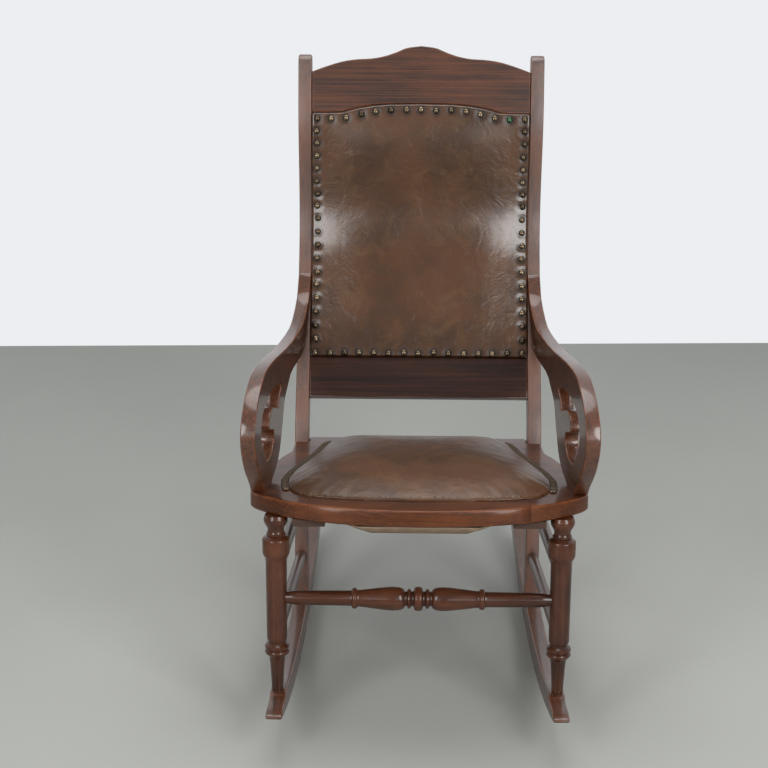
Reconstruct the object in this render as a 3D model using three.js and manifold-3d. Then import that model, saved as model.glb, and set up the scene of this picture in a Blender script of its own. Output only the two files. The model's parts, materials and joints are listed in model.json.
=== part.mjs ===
// An upholstered rocking armchair: two runners, turned front legs, sawn back posts,
// pierced scroll arms, a board seat frame with a leather pad and a leather back panel.
// Millimetres, +Z up. The sitter faces -Y. While it is built, Y is measured from the
// axes of the front legs and Z from the floor, and the last lines move the origin to
// the middle of the space that the chair takes on the floor.

import * as THREE from "three";
import { mergeVertices } from "three/addons/utils/BufferGeometryUtils.js";
import Module from "manifold-3d";

const wasm = await Module();
wasm.setup();

// Fits
const gap = 0.3; // clearance between faces that touch
const overrun = 6; // how far a cutter runs past what it cuts
const weld = 0.001; // vertices closer than this are one

// Runners
const runnerRadius = 1243; // radius of the rocking edge
const runnerFacet = 50; // length of one flat of the rocking edge
const runnerCentreY = 203; // centre of the rocking edge, behind the front legs
const restLean = THREE.MathUtils.degToRad(7.8); // how far back the empty chair settles
const runnerThick = 27;
const runnerNose = 88; // reach in front of the front legs
const runnerTail = 730; // reach behind the front legs
const runnerFrontDepth = 34; // under the front leg
const runnerRearDepth = 45; // under the back post
const runnerTailDepth = 29;
const runnerFrontSpan = 461; // between the runners' middles at the front legs
const runnerRearSpan = 440; // between their middles at the back posts

// Front legs
const legSpan = 466; // between the axes
const legWidest = 22.5; // radius of the collar
const legFootRadius = 10;
const legTenonRadius = 5;
const legTenonLength = 18;

// Back posts
const postSpan = 460; // across the outer faces
const postThick = 25;
const postFootY = 376; // front of the foot
const postSweep = 206; // from the foot's front to the rearmost point of the front edge
const postTopZ = 1066;
const postDepth = 44; // front to back at the widest
const postTenonRadius = 7;

// Seat frame
const seatFrontY = -73; // front edge, from the axes of the front legs
const seatFrontZ = 388; // top of the front edge
const seatTilt = THREE.MathUtils.degToRad(3.2);
const seatHalfWidth = 278;
const seatThick = 28;
const boardJointInset = 55; // from a leg's axis in to the joint of the front and side boards
const jointPegRadius = 4;
const jointPegLength = 46;
const blockLength = 52; // glue block under that joint
const blockWidth = 32;
const blockThick = 12;

// Seat upholstery
const padHalfWidth = 219;
const padFront = 60; // behind the front edge of the seat
const padBackSet = 9; // clear of the back posts
const padCrown = 40;
const hideThick = 2;
const braidWidth = 12;
const braidThick = 3;
const webWidth = 50;
const webThick = 1.5;
const webSpacingX = 92; // middle to middle of the straps that run fore and aft
const webSpacingY = 98; // of the straps that cross them
const backWebSpacing = 110; // of the straps up the back
const stuffingClear = 1.2; // from the stuffing to the hide over it
const clothThick = 0.8;
const liningMargin = 8; // from the lining to the posts
const clothSag = 32; // belly of the cloth under the seat
const clothHem = 24; // its front edge, behind the front edge of the seat

// Back rails and upholstery
const railThick = 20;
const railSet = 1.5; // rails lie this far behind the front of the posts
const crestFootZ = 959; // lower edge of the crest rail at its ends
const crestEndHeight = 74.5;
const crestPeak = 48; // top of the crest above its ends
const crestArch = 17; // rise of its lower edge
const lowRailFootZ = 441;
const lowRailHeight = 77;
const tongueSet = 1.2; // from the curved hide to the flat tongue
const tongueReach = 22; // rebated part that the hide is nailed to
const hideClear = 1.5; // from the edges of the hide to the rails above and below it
const hideSet = 3; // the hide's border lies this far behind the front of the posts
const lathWidth = 22;
const lathClear = 4; // from the ends of a lath to the rails
const backCrown = 13;
const railTenonLength = 14;
const railTenonThick = 8;
const railTenonEdge = 12; // from the rail's edge to its tenon

// Stretchers
const rungRadius = 10; // plain side stretchers
const rungEndRadius = 6;
const rungTaper = 24; // length of the thinner ends
const rungLowZ = 146;
const rungHighZ = 255;
const rungInLeg = 12; // how far a stretcher goes past a leg's surface
const rungInPost = 16;
const frontStretcherZ = 212;
const frontStretcherRadius = 20;

// Arms
const armThick = 24;
const armTopZ = 657; // where an arm runs out on the post
const armFront = 28; // front of the scroll behind the front edge of the seat
const armFootClear = 17; // from the braid to the foot of an arm
const armPegRadius = 6;
const armPegDepth = 17; // into the seat, and as far into the arm
const screwRadius = 2.5;
const screwHeadRadius = 4.5;
const screwHead = 3;
const screwReach = 18; // into the arm
const screwZ = 592;

// Rounding of sawn edges
const edgeRound = 2;
const boardRound = 3.5;

const sampleCount = 28;
const turnedSides = 14;
const stretcherSides = 12;
const plainSides = 12;

// Solids

function solidOf(geometry) {
  const bare = new THREE.BufferGeometry();
  bare.setAttribute("position", geometry.getAttribute("position"));
  if (geometry.index) {
    bare.setIndex(geometry.index);
  }
  const merged = mergeVertices(bare, weld);
  return new wasm.Manifold(
    new wasm.Mesh({
      numProp: 3,
      vertProperties: merged.attributes.position.array,
      triVerts: new Uint32Array(merged.index.array),
    }),
  );
}

function geometryOf(solid) {
  const mesh = solid.getMesh();
  const indexed = new THREE.BufferGeometry();
  indexed.setAttribute("position", new THREE.BufferAttribute(mesh.vertProperties, 3));
  indexed.setIndex(new THREE.BufferAttribute(mesh.triVerts, 1));
  const geometry = indexed.toNonIndexed();
  geometry.computeVertexNormals();
  return geometry;
}

// A piece is a solid in its own frame, and the frame's place in the chair.
function piece(solid, frame = new THREE.Matrix4()) {
  return { solid, frame };
}

// A tool's solid, seen from the frame of the piece that it works on
function seenFrom(target, tool) {
  const move = target.frame.clone().invert().multiply(tool.frame);
  return tool.solid.transform(move.elements);
}

function carve(target, tool) {
  target.solid = target.solid.subtract(seenFrom(target, tool));
}

function join(target, tool) {
  target.solid = target.solid.add(seenFrom(target, tool));
}

function box(low, high) {
  const size = new THREE.Vector3().subVectors(high, low);
  const middle = new THREE.Vector3().addVectors(low, high).multiplyScalar(1 / 2);
  const geometry = new THREE.BoxGeometry(size.x, size.y, size.z);
  geometry.translate(middle.x, middle.y, middle.z);
  return solidOf(geometry);
}

// An outline sawn from a board, centred on the board's middle, with rounded edges
function sawn(shape, thick, round = edgeRound) {
  const geometry = new THREE.ExtrudeGeometry(shape, {
    depth: thick - 2 * round,
    bevelEnabled: round > 0,
    bevelThickness: round,
    bevelSize: round,
    bevelOffset: -round,
    bevelSegments: 1,
    curveSegments: 1,
    steps: 1,
  });
  geometry.translate(0, 0, round - thick / 2);
  return solidOf(geometry);
}

// A turning about its own Y axis, from [radius, place] pairs in order of place
function turning(profile, grow = 0, sides = turnedSides) {
  const first = profile[0];
  const last = profile[profile.length - 1];
  const points = [
    new THREE.Vector2(0, first[1] - grow),
    new THREE.Vector2(first[0] + grow, first[1] - grow),
    ...profile.slice(1, -1).map(([radius, place]) => new THREE.Vector2(radius + grow, place)),
    new THREE.Vector2(last[0] + grow, last[1] + grow),
    new THREE.Vector2(0, last[1] + grow),
  ];
  return solidOf(new THREE.LatheGeometry(points, sides));
}

// The frame of a turning whose Y axis runs from one point towards another
function alongFrame(from, to) {
  const way = new THREE.Vector3().subVectors(to, from).normalize();
  const turn = new THREE.Quaternion().setFromUnitVectors(new THREE.Vector3(0, 1, 0), way);
  return new THREE.Matrix4().compose(from, turn, new THREE.Vector3(1, 1, 1));
}

// A round peg between two points, or with grow the hole that takes it
function peg(from, to, radius, grow = 0) {
  const length = from.distanceTo(to);
  return piece(
    turning(
      [
        [radius, 0],
        [radius, length],
      ],
      grow,
      plainSides,
    ),
    alongFrame(from, to),
  );
}

function smooth(points, count) {
  return new THREE.SplineCurve(points).getPoints(count);
}

// Points from shares of two lengths, measured from a corner
function scaled(shares, width, height, left = 0, foot = 0) {
  return shares.map(([across, up]) => new THREE.Vector2(left + across * width, foot + up * height));
}

// A closed skin over rings and spokes drawn from a centre to an outline
function domeSolid(outline, centre, rings, topAt, bottomAt) {
  const count = outline.length;
  const position = [];
  for (const heightAt of [topAt, bottomAt]) {
    position.push(centre.x, centre.y, heightAt(0));
    for (let ring = 1; ring <= rings; ring += 1) {
      for (const rim of outline) {
        const share = ring / rings;
        const at = centre.clone().lerp(rim, share);
        position.push(at.x, at.y, heightAt(share));
      }
    }
  }
  const half = 1 + rings * count;
  const vertex = (ring, spoke) => (ring === 0 ? 0 : 1 + (ring - 1) * count + (spoke % count));
  const index = [];
  const triangle = (a, b, c) => {
    if (a !== b && b !== c && c !== a) {
      index.push(a, b, c, half + a, half + c, half + b);
    }
  };
  for (let spoke = 0; spoke < count; spoke += 1) {
    for (let ring = 0; ring < rings; ring += 1) {
      triangle(vertex(ring, spoke), vertex(ring + 1, spoke), vertex(ring + 1, spoke + 1));
      triangle(vertex(ring, spoke), vertex(ring + 1, spoke + 1), vertex(ring, spoke + 1));
    }
    const here = vertex(rings, spoke);
    const next = vertex(rings, spoke + 1);
    index.push(here, half + here, half + next, here, half + next, next);
  }
  const geometry = new THREE.BufferGeometry();
  geometry.setAttribute("position", new THREE.Float32BufferAttribute(position, 3));
  geometry.setIndex(index);
  return solidOf(geometry);
}

// A closed slab over a grid, between a front face and a back face
function slabSolid(columns, rows, frontAt, backAt) {
  const position = [];
  for (const faceAt of [frontAt, backAt]) {
    for (let row = 0; row <= rows; row += 1) {
      for (let column = 0; column <= columns; column += 1) {
        position.push(...faceAt((2 * column) / columns - 1, row / rows).toArray());
      }
    }
  }
  const half = (columns + 1) * (rows + 1);
  const vertex = (column, row) => row * (columns + 1) + column;
  const index = [];
  const quad = (a, b, c, d) => index.push(a, b, c, a, c, d);
  for (let row = 0; row < rows; row += 1) {
    for (let column = 0; column < columns; column += 1) {
      const a = vertex(column, row);
      const b = vertex(column + 1, row);
      const c = vertex(column + 1, row + 1);
      const d = vertex(column, row + 1);
      quad(a, b, c, d);
      quad(half + a, half + d, half + c, half + b);
    }
  }
  for (let row = 0; row < rows; row += 1) {
    const left = vertex(0, row);
    const leftUp = vertex(0, row + 1);
    const right = vertex(columns, row);
    const rightUp = vertex(columns, row + 1);
    quad(left, leftUp, half + leftUp, half + left);
    quad(right, half + right, half + rightUp, rightUp);
  }
  for (let column = 0; column < columns; column += 1) {
    const low = vertex(column, 0);
    const lowNext = vertex(column + 1, 0);
    const high = vertex(column, rows);
    const highNext = vertex(column + 1, rows);
    quad(low, half + low, half + lowNext, lowNext);
    quad(high, highNext, half + highNext, half + high);
  }
  const geometry = new THREE.BufferGeometry();
  geometry.setAttribute("position", new THREE.Float32BufferAttribute(position, 3));
  geometry.setIndex(index);
  return solidOf(geometry);
}

// Frames

// A board that stands fore and aft: its outline is drawn in Y and Z
function uprightFrame(x) {
  return new THREE.Matrix4()
    .makeBasis(new THREE.Vector3(0, 1, 0), new THREE.Vector3(0, 0, 1), new THREE.Vector3(1, 0, 0))
    .setPosition(x, 0, 0);
}

// The seat's frame: its X and Y lie on top of the boards, from the middle of the front edge
const seatFrame = new THREE.Matrix4().makeRotationX(-seatTilt).setPosition(0, seatFrontY, seatFrontZ);
const seatTopAt = (y) => seatFrontZ - (y - seatFrontY) * Math.tan(seatTilt);
const seatPoint = (x, y, z) => new THREE.Vector3(x, y, z).applyMatrix4(seatFrame);

// Runner lines

const rockingEdgeZ = (y) => runnerRadius - Math.sqrt(runnerRadius ** 2 - (y - runnerCentreY) ** 2);
const runnerDepthAt = (y) => {
  const between = y / (postFootY + postDepth / 2);
  const behind = (y - postFootY - postDepth) / (runnerTail - postFootY - postDepth);
  const toPost = THREE.MathUtils.lerp(
    runnerFrontDepth,
    runnerRearDepth,
    THREE.MathUtils.clamp(between, 0, 1),
  );
  return THREE.MathUtils.lerp(toPost, runnerTailDepth, THREE.MathUtils.clamp(behind, 0, 1));
};
const legFootZ = rockingEdgeZ(0) + runnerFrontDepth;

// The back post: its front edge is one long curve

const postInnerX = postSpan / 2 - postThick;
const postMiddleX = postSpan / 2 - postThick / 2;
const postFootDepthShare = 0.8;
const postDepthShares = [
  [0, postFootDepthShare],
  [0.3, 1],
  [0.6, 0.96],
  [0.8, 0.86],
  [1, 0.72],
];
const postFootZ = rockingEdgeZ(postFootY + (postDepth * postFootDepthShare) / 2) + runnerRearDepth;
const postTopRadius = (postDepth * postDepthShares[postDepthShares.length - 1][1]) / 2;
const postRise = postTopZ - postTopRadius - postFootZ;
const postFrontShares = [
  [0, 0],
  [0.04, 0.0915],
  [0.087, 0.198],
  [0.165, 0.3135],
  [0.233, 0.355],
  [0.296, 0.381],
  [0.451, 0.446],
  [0.602, 0.502],
  [0.845, 0.608],
  [0.966, 0.669],
  [1, 0.73],
  [0.961, 0.811],
  [0.917, 0.877],
  [0.937, 0.938],
  [0.981, 1],
];
const postFront = smooth(
  scaled(postFrontShares, postSweep, postRise, postFootY, postFootZ),
  sampleCount,
);

function shareAt(table, along) {
  const next = Math.max(
    1,
    table.findIndex(([place]) => place >= along),
  );
  const [low, lowShare] = table[next - 1];
  const [high, highShare] = table[next];
  return THREE.MathUtils.mapLinear(along, low, high, lowShare, highShare);
}

// The post's front edge at a height: its Y, and the unit normal that points to the back
function postAt(z) {
  const last = postFront.length - 1;
  const found = postFront.findIndex((point) => point.y >= z);
  const next = found < 0 ? last : Math.max(1, found);
  const low = postFront[next - 1];
  const high = postFront[next];
  const y = THREE.MathUtils.mapLinear(z, low.y, high.y, low.x, high.x);
  const before = postFront[Math.max(0, next - 2)];
  const after = postFront[Math.min(last, next + 1)];
  const way = new THREE.Vector2().subVectors(after, before).normalize();
  return { y, z, back: new THREE.Vector2(way.y, -way.x) };
}

// The post's front edge moved to the back by a set amount, between two heights
function postLine(fromZ, toZ, set, count) {
  const points = [];
  for (let step = 0; step <= count; step += 1) {
    const at = postAt(THREE.MathUtils.lerp(fromZ, toZ, step / count));
    points.push(new THREE.Vector2(at.y, at.z).addScaledVector(at.back, set));
  }
  return points;
}

function postOutline(grow) {
  const front = [];
  const back = [];
  postFront.forEach((point) => {
    const along = (point.y - postFootZ) / postRise;
    const depth = postDepth * shareAt(postDepthShares, along);
    const normal = postAt(point.y).back;
    front.push(point.clone().addScaledVector(normal, -grow));
    back.unshift(point.clone().addScaledVector(normal, depth + grow));
  });
  const start = front[front.length - 1];
  const centre = start.clone().add(back[0]).multiplyScalar(1 / 2);
  const arm = new THREE.Vector2().subVectors(start, centre);
  const top = [];
  const topSteps = 7;
  for (let step = 1; step < topSteps; step += 1) {
    top.push(arm.clone().rotateAround(new THREE.Vector2(), (-Math.PI * step) / topSteps).add(centre));
  }
  front[0].y -= grow;
  back[back.length - 1].y = front[0].y;
  return new THREE.Shape([...front, ...top, ...back]);
}

const backPost = piece(sawn(postOutline(0), postThick), uprightFrame(postMiddleX));
const postClearance = piece(
  sawn(postOutline(gap), postThick + 2 * gap, 0),
  uprightFrame(postMiddleX),
);

// Where the top of the seat meets the front of the post
let postSeatZ = seatTopAt(postFootY);
for (let pass = 0; pass < sampleCount; pass += 1) {
  postSeatZ = seatTopAt(postAt(postSeatZ).y);
}
const seatDepth = (postAt(postSeatZ).y - seatFrontY) / Math.cos(seatTilt);

// Runner

const noseTopShare = 0.62;
function runnerOutline() {
  const tipZ = rockingEdgeZ(-runnerNose);
  const noseShares = [
    [-0.62, 1],
    [-0.78, 0.97],
    [-0.9, 0.82],
    [-0.975, 0.56],
    [-1, 0.28],
    [-0.985, 0.06],
  ];
  const coveShares = [
    [-0.19, 1],
    [-0.215, 0.5],
    [-0.3, 0.14],
    [-0.42, 0],
    [-0.62, 0.04],
  ];
  const coveTop = legFootZ - gap;
  const coveFoot = tipZ + (legFootZ - tipZ) * noseTopShare;
  const cove = scaled(coveShares, runnerNose, coveTop - coveFoot, 0, coveFoot);
  const nose = scaled(noseShares, runnerNose, cove[cove.length - 1].y - tipZ, 0, tipZ);
  const points = [...cove, ...nose.slice(1)];
  const half = Math.asin(runnerFacet / 2 / runnerRadius);
  const from = Math.ceil((Math.asin((-runnerNose - runnerCentreY) / runnerRadius) - restLean) / half / 2);
  const to = Math.floor((Math.asin((runnerTail - runnerCentreY) / runnerRadius) - restLean) / half / 2);
  for (let step = from; step < to; step += 1) {
    const angle = restLean + (2 * step + 1) * half;
    const y = runnerCentreY + runnerRadius * Math.sin(angle);
    points.push(new THREE.Vector2(y, rockingEdgeZ(y)));
  }
  const tailShares = [
    [0.2, 0],
    [0.95, 0.22],
    [1, 0.6],
    [0.7, 0.92],
    [0.1, 1],
  ];
  const tailStart = runnerTail - runnerTailDepth;
  tailShares.forEach(([along, up]) => {
    const y = tailStart + along * runnerTailDepth;
    points.push(new THREE.Vector2(y, rockingEdgeZ(y) + up * runnerTailDepth));
  });
  const top = (y) => new THREE.Vector2(y, rockingEdgeZ(y) + runnerDepthAt(y));
  const postFootBack = postFootY + postDepth;
  const steps = 9;
  for (let step = 1; step < steps; step += 1) {
    points.push(top(THREE.MathUtils.lerp(tailStart, postFootBack, step / steps)));
  }
  points.push(new THREE.Vector2(postFootBack, postFootZ - gap));
  points.push(new THREE.Vector2(postFootY - edgeRound, postFootZ - gap));
  for (let step = 1; step < steps; step += 1) {
    points.push(top(THREE.MathUtils.lerp(postFootY, legFootRadius, step / steps)));
  }
  points.push(new THREE.Vector2(legFootRadius + edgeRound, legFootZ - gap));
  return new THREE.Shape(points);
}

const runnerTurn = Math.atan((runnerFrontSpan - runnerRearSpan) / 2 / postFootY);
const runnerFrame = new THREE.Matrix4()
  .makeTranslation(runnerFrontSpan / 2, 0, 0)
  .multiply(new THREE.Matrix4().makeRotationZ(runnerTurn))
  .multiply(uprightFrame(0));
const runner = piece(sawn(runnerOutline(), runnerThick), runnerFrame);

// Seat boards

const padBack = seatDepth - padBackSet;
const padMiddle = new THREE.Vector2(0, (padFront + padBack) / 2);
const openingShare = 0.88; // the opening in the boards, of the pad's outline
const stuffingShare = 0.86;

function mirrored(half) {
  const other = half
    .slice(1, -1)
    .reverse()
    .map((point) => new THREE.Vector2(-point.x, point.y));
  return [...half, ...other];
}

const padShares = [
  [0, 0],
  [0.22, 0.001],
  [0.418, 0.0075],
  [0.6, 0.019],
  [0.772, 0.04],
  [0.87, 0.07],
  [0.914, 0.095],
  [0.974, 0.1475],
  [1, 0.2475],
  [0.996, 0.375],
  [0.909, 0.575],
  [0.832, 0.75],
  [0.775, 0.9],
  [0.754, 0.975],
  [0.72, 1],
];
const padSteps = 18;
function padOutline(share) {
  const corner = scaled(padShares, padHalfWidth, padBack - padFront, 0, padFront);
  const half = [...smooth(corner, padSteps), new THREE.Vector2(0, padBack)];
  return mirrored(half).map((point) => padMiddle.clone().lerp(point, share));
}

const seatBack = seatDepth + postDepth; // back edge of the boards between the posts
const seatShares = [
  [0, 0],
  [0.227, 0.008],
  [0.453, 0.031],
  [0.687, 0.081],
  [0.874, 0.152],
  [0.986, 0.225],
  [1, 0.277],
  [0.989, 0.402],
  [0.964, 0.527],
  [0.924, 0.652],
  [0.88, 0.758],
  [0.845, 0.82],
];
const rearShare = 0.865;
function seatSolid() {
  const outer = postSpan / 2;
  const curve = smooth(scaled(seatShares, seatHalfWidth, seatDepth), 26);
  const half = [
    ...curve,
    new THREE.Vector2(outer, seatDepth * rearShare),
    new THREE.Vector2(outer, seatDepth + overrun),
    new THREE.Vector2(postInnerX - gap, seatDepth + overrun),
    new THREE.Vector2(postInnerX - gap, seatBack),
    new THREE.Vector2(0, seatBack),
  ];
  const shape = new THREE.Shape(mirrored(half));
  shape.holes.push(new THREE.Path(padOutline(openingShare)));
  return sawn(shape, seatThick, boardRound).translate([0, 0, -seatThick / 2]);
}

const seatBoards = seatSolid();
const openingFront = padMiddle.y + (padFront - padMiddle.y) * openingShare;
const openingBack = padMiddle.y + (padBack - padMiddle.y) * openingShare;
const backJoint = openingBack - 2 * boardRound;
const boardJointX = legSpan / 2 - boardJointInset;
const pastSide = seatHalfWidth + overrun;
const pastFoot = -seatThick - overrun;
const region = (x0, y0, x1, y1) =>
  box(new THREE.Vector3(x0, y0, pastFoot), new THREE.Vector3(x1, y1, overrun));

const frontBoard = piece(
  seatBoards.intersect(
    region(-boardJointX + gap / 2, -overrun, boardJointX - gap / 2, padMiddle.y - gap / 2),
  ),
  seatFrame,
);
const sideRegion = region(boardJointX + gap / 2, -overrun, pastSide, padMiddle.y + overrun)
  .add(region(gap, padMiddle.y + gap / 2, pastSide, backJoint - gap / 2))
  .add(region(postInnerX, backJoint - overrun, pastSide, seatBack));
const sideBoard = piece(seatBoards.intersect(sideRegion), seatFrame);
const backBoard = piece(
  seatBoards.intersect(region(-postInnerX, backJoint + gap / 2, postInnerX, seatBack + overrun)),
  seatFrame,
);
carve(sideBoard, postClearance);

// The space of the seat boards, grown by the gap, that legs and arms are fitted against
const seatSpace = piece(
  box(
    new THREE.Vector3(-pastSide, -overrun, -seatThick - gap),
    new THREE.Vector3(pastSide, seatBack, gap),
  ),
  seatFrame,
);

// Pegs across the butt joints of the boards
const frontPegY = (openingFront + seatDepth * seatShares[3][1]) / 2;
const backPegX = (padHalfWidth * padShares[11][0] * openingShare + postInnerX) / 2;
function boardPeg(x, y, alongX, grow) {
  const reach = jointPegLength / 2;
  const from = seatPoint(alongX ? x - reach : x, alongX ? y : y - reach, -seatThick / 2);
  const to = seatPoint(alongX ? x + reach : x, alongX ? y : y + reach, -seatThick / 2);
  return peg(from, to, jointPegRadius, grow);
}
const frontPeg = boardPeg(boardJointX, frontPegY, true, 0);
const backPeg = boardPeg(backPegX, backJoint, false, 0);
carve(frontBoard, boardPeg(boardJointX, frontPegY, true, gap));
carve(frontBoard, boardPeg(-boardJointX, frontPegY, true, gap));
carve(sideBoard, boardPeg(boardJointX, frontPegY, true, gap));
carve(sideBoard, boardPeg(backPegX, backJoint, false, gap));
carve(backBoard, boardPeg(backPegX, backJoint, false, gap));
carve(backBoard, boardPeg(-backPegX, backJoint, false, gap));

// Glue block under the joint of the front and side boards
const blockInnerX = boardJointX - blockLength / 2;
const glueBlock = piece(
  box(
    new THREE.Vector3(blockInnerX, frontPegY - blockWidth / 2, -blockThick),
    new THREE.Vector3(blockInnerX + blockLength, frontPegY + blockWidth / 2, 0),
  ).translate([0, 0, -seatThick - gap]),
  seatFrame,
);

// Front leg

const legX = legSpan / 2;
const legTopZ = seatTopAt(0) - seatThick / Math.cos(seatTilt);
const legHeight = legTopZ - legFootZ;
// [radius as a share of the collar's, height as a share of the leg's]
const legShares = [
  [0.44, 0],
  [0.44, 0.031],
  [0.495, 0.112],
  [0.58, 0.1835],
  [0.68, 0.203],
  [0.9, 0.219],
  [0.81, 0.232],
  [0.91, 0.252],
  [0.74, 0.262],
  [0.65, 0.271],
  [0.7, 0.281],
  [0.755, 0.297],
  [0.765, 0.551],
  [0.78, 0.7465],
  [0.87, 0.763],
  [1, 0.785],
  [1, 0.864],
  [0.9, 0.873],
  [0.66, 0.881],
  [0.71, 0.891],
  [0.6, 0.914],
  [0.67, 0.938],
  [0.84, 0.956],
  [0.88, 0.975],
  [0.78, 1.01],
];
const legProfile = legShares.map(([radius, up]) => [radius * legWidest, up * legHeight]);
const frontLeg = piece(
  turning(legProfile),
  new THREE.Matrix4().makeRotationX(Math.PI / 2).setPosition(legX, 0, legFootZ),
);
carve(frontLeg, seatSpace);
const legTopPeg = [
  new THREE.Vector3(legX, 0, legTopZ - legTenonLength),
  new THREE.Vector3(legX, 0, legTopZ + legTenonLength),
];
const legFootPeg = [
  new THREE.Vector3(legX, 0, legFootZ - legTenonLength),
  new THREE.Vector3(legX, 0, legFootZ + legTenonLength),
];
join(frontLeg, peg(...legTopPeg, legTenonRadius));
join(frontLeg, peg(...legFootPeg, legTenonRadius));
carve(sideBoard, peg(...legTopPeg, legTenonRadius, gap));
carve(runner, peg(...legFootPeg, legTenonRadius, gap));

// Foot of the back post, pegged into the runner
const postFootMiddle = postFootY + (postDepth * postFootDepthShare) / 2;
const postFootPeg = [
  new THREE.Vector3(postMiddleX, postFootMiddle, postFootZ - legTenonLength),
  new THREE.Vector3(postMiddleX, postFootMiddle, postFootZ + legTenonLength),
];
join(backPost, peg(...postFootPeg, postTenonRadius));
carve(runner, peg(...postFootPeg, postTenonRadius, gap));

// Stretchers

function rung(z) {
  const legSurface = legWidest * legShares[12][0];
  const from = new THREE.Vector3(legX, legSurface - rungInLeg, z);
  const to = new THREE.Vector3(postMiddleX, postAt(z).y + rungInPost, z);
  const length = from.distanceTo(to);
  const profile = [
    [rungEndRadius, 0],
    [rungEndRadius, rungInLeg / 2],
    [rungRadius, rungTaper],
    [rungRadius, length - rungTaper],
    [rungEndRadius, length - rungInPost / 2],
    [rungEndRadius, length],
  ];
  const frame = alongFrame(from, to);
  carve(frontLeg, piece(turning(profile, gap, plainSides), frame));
  carve(backPost, piece(turning(profile, gap, plainSides), frame));
  return piece(turning(profile, 0, plainSides), frame);
}
const lowerRung = rung(rungLowZ);
const upperRung = rung(rungHighZ);

// [place as a share of half the length, radius as a share of the widest], from the middle out
const frontStretcherShares = [
  [0, 1],
  [0.022, 1],
  [0.03, 0.88],
  [0.036, 0.64],
  [0.048, 0.62],
  [0.056, 0.8],
  [0.066, 0.826],
  [0.076, 0.8],
  [0.084, 0.63],
  [0.097, 0.63],
  [0.106, 0.82],
  [0.13, 0.92],
  [0.182, 0.974],
  [0.25, 0.93],
  [0.35, 0.816],
  [0.41, 0.73],
  [0.44, 0.71],
  [0.449, 0.85],
  [0.474, 0.85],
  [0.483, 0.65],
  [0.879, 0.61],
  [0.932, 0.5],
  [1, 0.42],
];
const frontStretcherHalf = legX - legWidest * legShares[12][0] + rungInLeg;
const stretcherHalf = frontStretcherShares.map(([along, radius]) => [
  radius * frontStretcherRadius,
  along * frontStretcherHalf,
]);
const stretcherProfile = [
  ...stretcherHalf
    .slice(1)
    .reverse()
    .map(([radius, along]) => [radius, -along]),
  ...stretcherHalf,
];
const stretcherFrame = new THREE.Matrix4()
  .makeRotationZ(-Math.PI / 2)
  .setPosition(0, 0, frontStretcherZ);
const frontStretcher = piece(turning(stretcherProfile, 0, stretcherSides), stretcherFrame);
carve(frontLeg, piece(turning(stretcherProfile, gap, stretcherSides), stretcherFrame));

// Rails of the back: flat boards that lie along the posts, and their frames

function railFrame(footZ, topZ) {
  const foot = postAt(footZ);
  const top = postAt(topZ);
  const up = new THREE.Vector3(0, top.y - foot.y, top.z - foot.z).normalize();
  const across = new THREE.Vector3(1, 0, 0);
  const forward = new THREE.Vector3().crossVectors(across, up);
  return new THREE.Matrix4()
    .makeBasis(across, up, forward)
    .setPosition(0, foot.y, foot.z);
}
const railHalf = postInnerX - gap;
const faceLevel = -railSet - railThick / 2; // middle of a rail, behind the front of the posts
const tongueFront = -hideSet - hideThick - tongueSet;
const tongueBack = -railSet - railThick;
const tongueThick = tongueFront - tongueBack;

function railWithTongue(outline, tongue, frame) {
  const rail = sawn(new THREE.Shape(outline), railThick).translate([0, 0, faceLevel]);
  const flange = sawn(new THREE.Shape(tongue), tongueThick, 0);
  return piece(rail.add(flange.translate([0, 0, (tongueFront + tongueBack) / 2])), frame);
}

// A tenon at each end of a rail, or with grow the mortise that takes it
function railTenon(frame, footUp, topUp, grow) {
  return piece(
    box(
      new THREE.Vector3(postInnerX - gap - railTenonLength, footUp - grow, -railTenonThick / 2 - grow),
      new THREE.Vector3(postInnerX + railTenonLength + grow, topUp + grow, railTenonThick / 2 + grow),
    ).translate([0, 0, faceLevel]),
    frame,
  );
}
function mirroredTool(tool) {
  return piece(tool.solid.scale([-1, 1, 1]), tool.frame);
}
function tenoned(rail, footUp, topUp) {
  const tenon = railTenon(rail.frame, footUp, topUp, 0);
  join(rail, tenon);
  join(rail, mirroredTool(tenon));
  carve(backPost, railTenon(rail.frame, footUp, topUp, gap));
}

const crestTopShares = [
  [1, 0],
  [0.89, 0.18],
  [0.731, 0.388],
  [0.594, 0.483],
  [0.457, 0.517],
  [0.335, 0.612],
  [0.22, 0.776],
  [0.13, 0.932],
  [0, 1],
];
const crestFootShares = [
  [0, 1],
  [0.29, 0.943],
  [0.472, 0.755],
  [0.64, 0.38],
  [0.72, 0.06],
  [0.76, 0],
];
const crestFrame = railFrame(crestFootZ - tongueReach, crestFootZ + crestEndHeight);
const crestLean = Math.atan2(
  postAt(crestFootZ + crestEndHeight).y - postAt(crestFootZ).y,
  crestEndHeight,
);
const crestFootUp = tongueReach / Math.cos(crestLean);
const crestFootCurve = smooth(
  scaled(crestFootShares, railHalf, crestArch, 0, crestFootUp),
  14,
);
const crestTopCurve = smooth(
  scaled(crestTopShares, railHalf, crestPeak, 0, crestFootUp + crestEndHeight),
  20,
);
const crestRail = railWithTongue(
  mirrored([
    ...crestFootCurve,
    new THREE.Vector2(railHalf, crestFootUp),
    ...crestTopCurve,
  ]),
  mirrored([
    new THREE.Vector2(0, crestFootUp + crestArch - tongueReach),
    ...crestFootCurve.slice(1).map((point) => new THREE.Vector2(point.x, point.y - tongueReach)),
    new THREE.Vector2(railHalf, crestFootUp - tongueReach),
    new THREE.Vector2(railHalf, crestFootUp + 2 * edgeRound),
    new THREE.Vector2(0, crestFootUp + crestArch + 2 * edgeRound),
  ]),
  crestFrame,
);
tenoned(crestRail, crestFootUp + railTenonEdge, crestFootUp + crestEndHeight - railTenonEdge);

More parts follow.
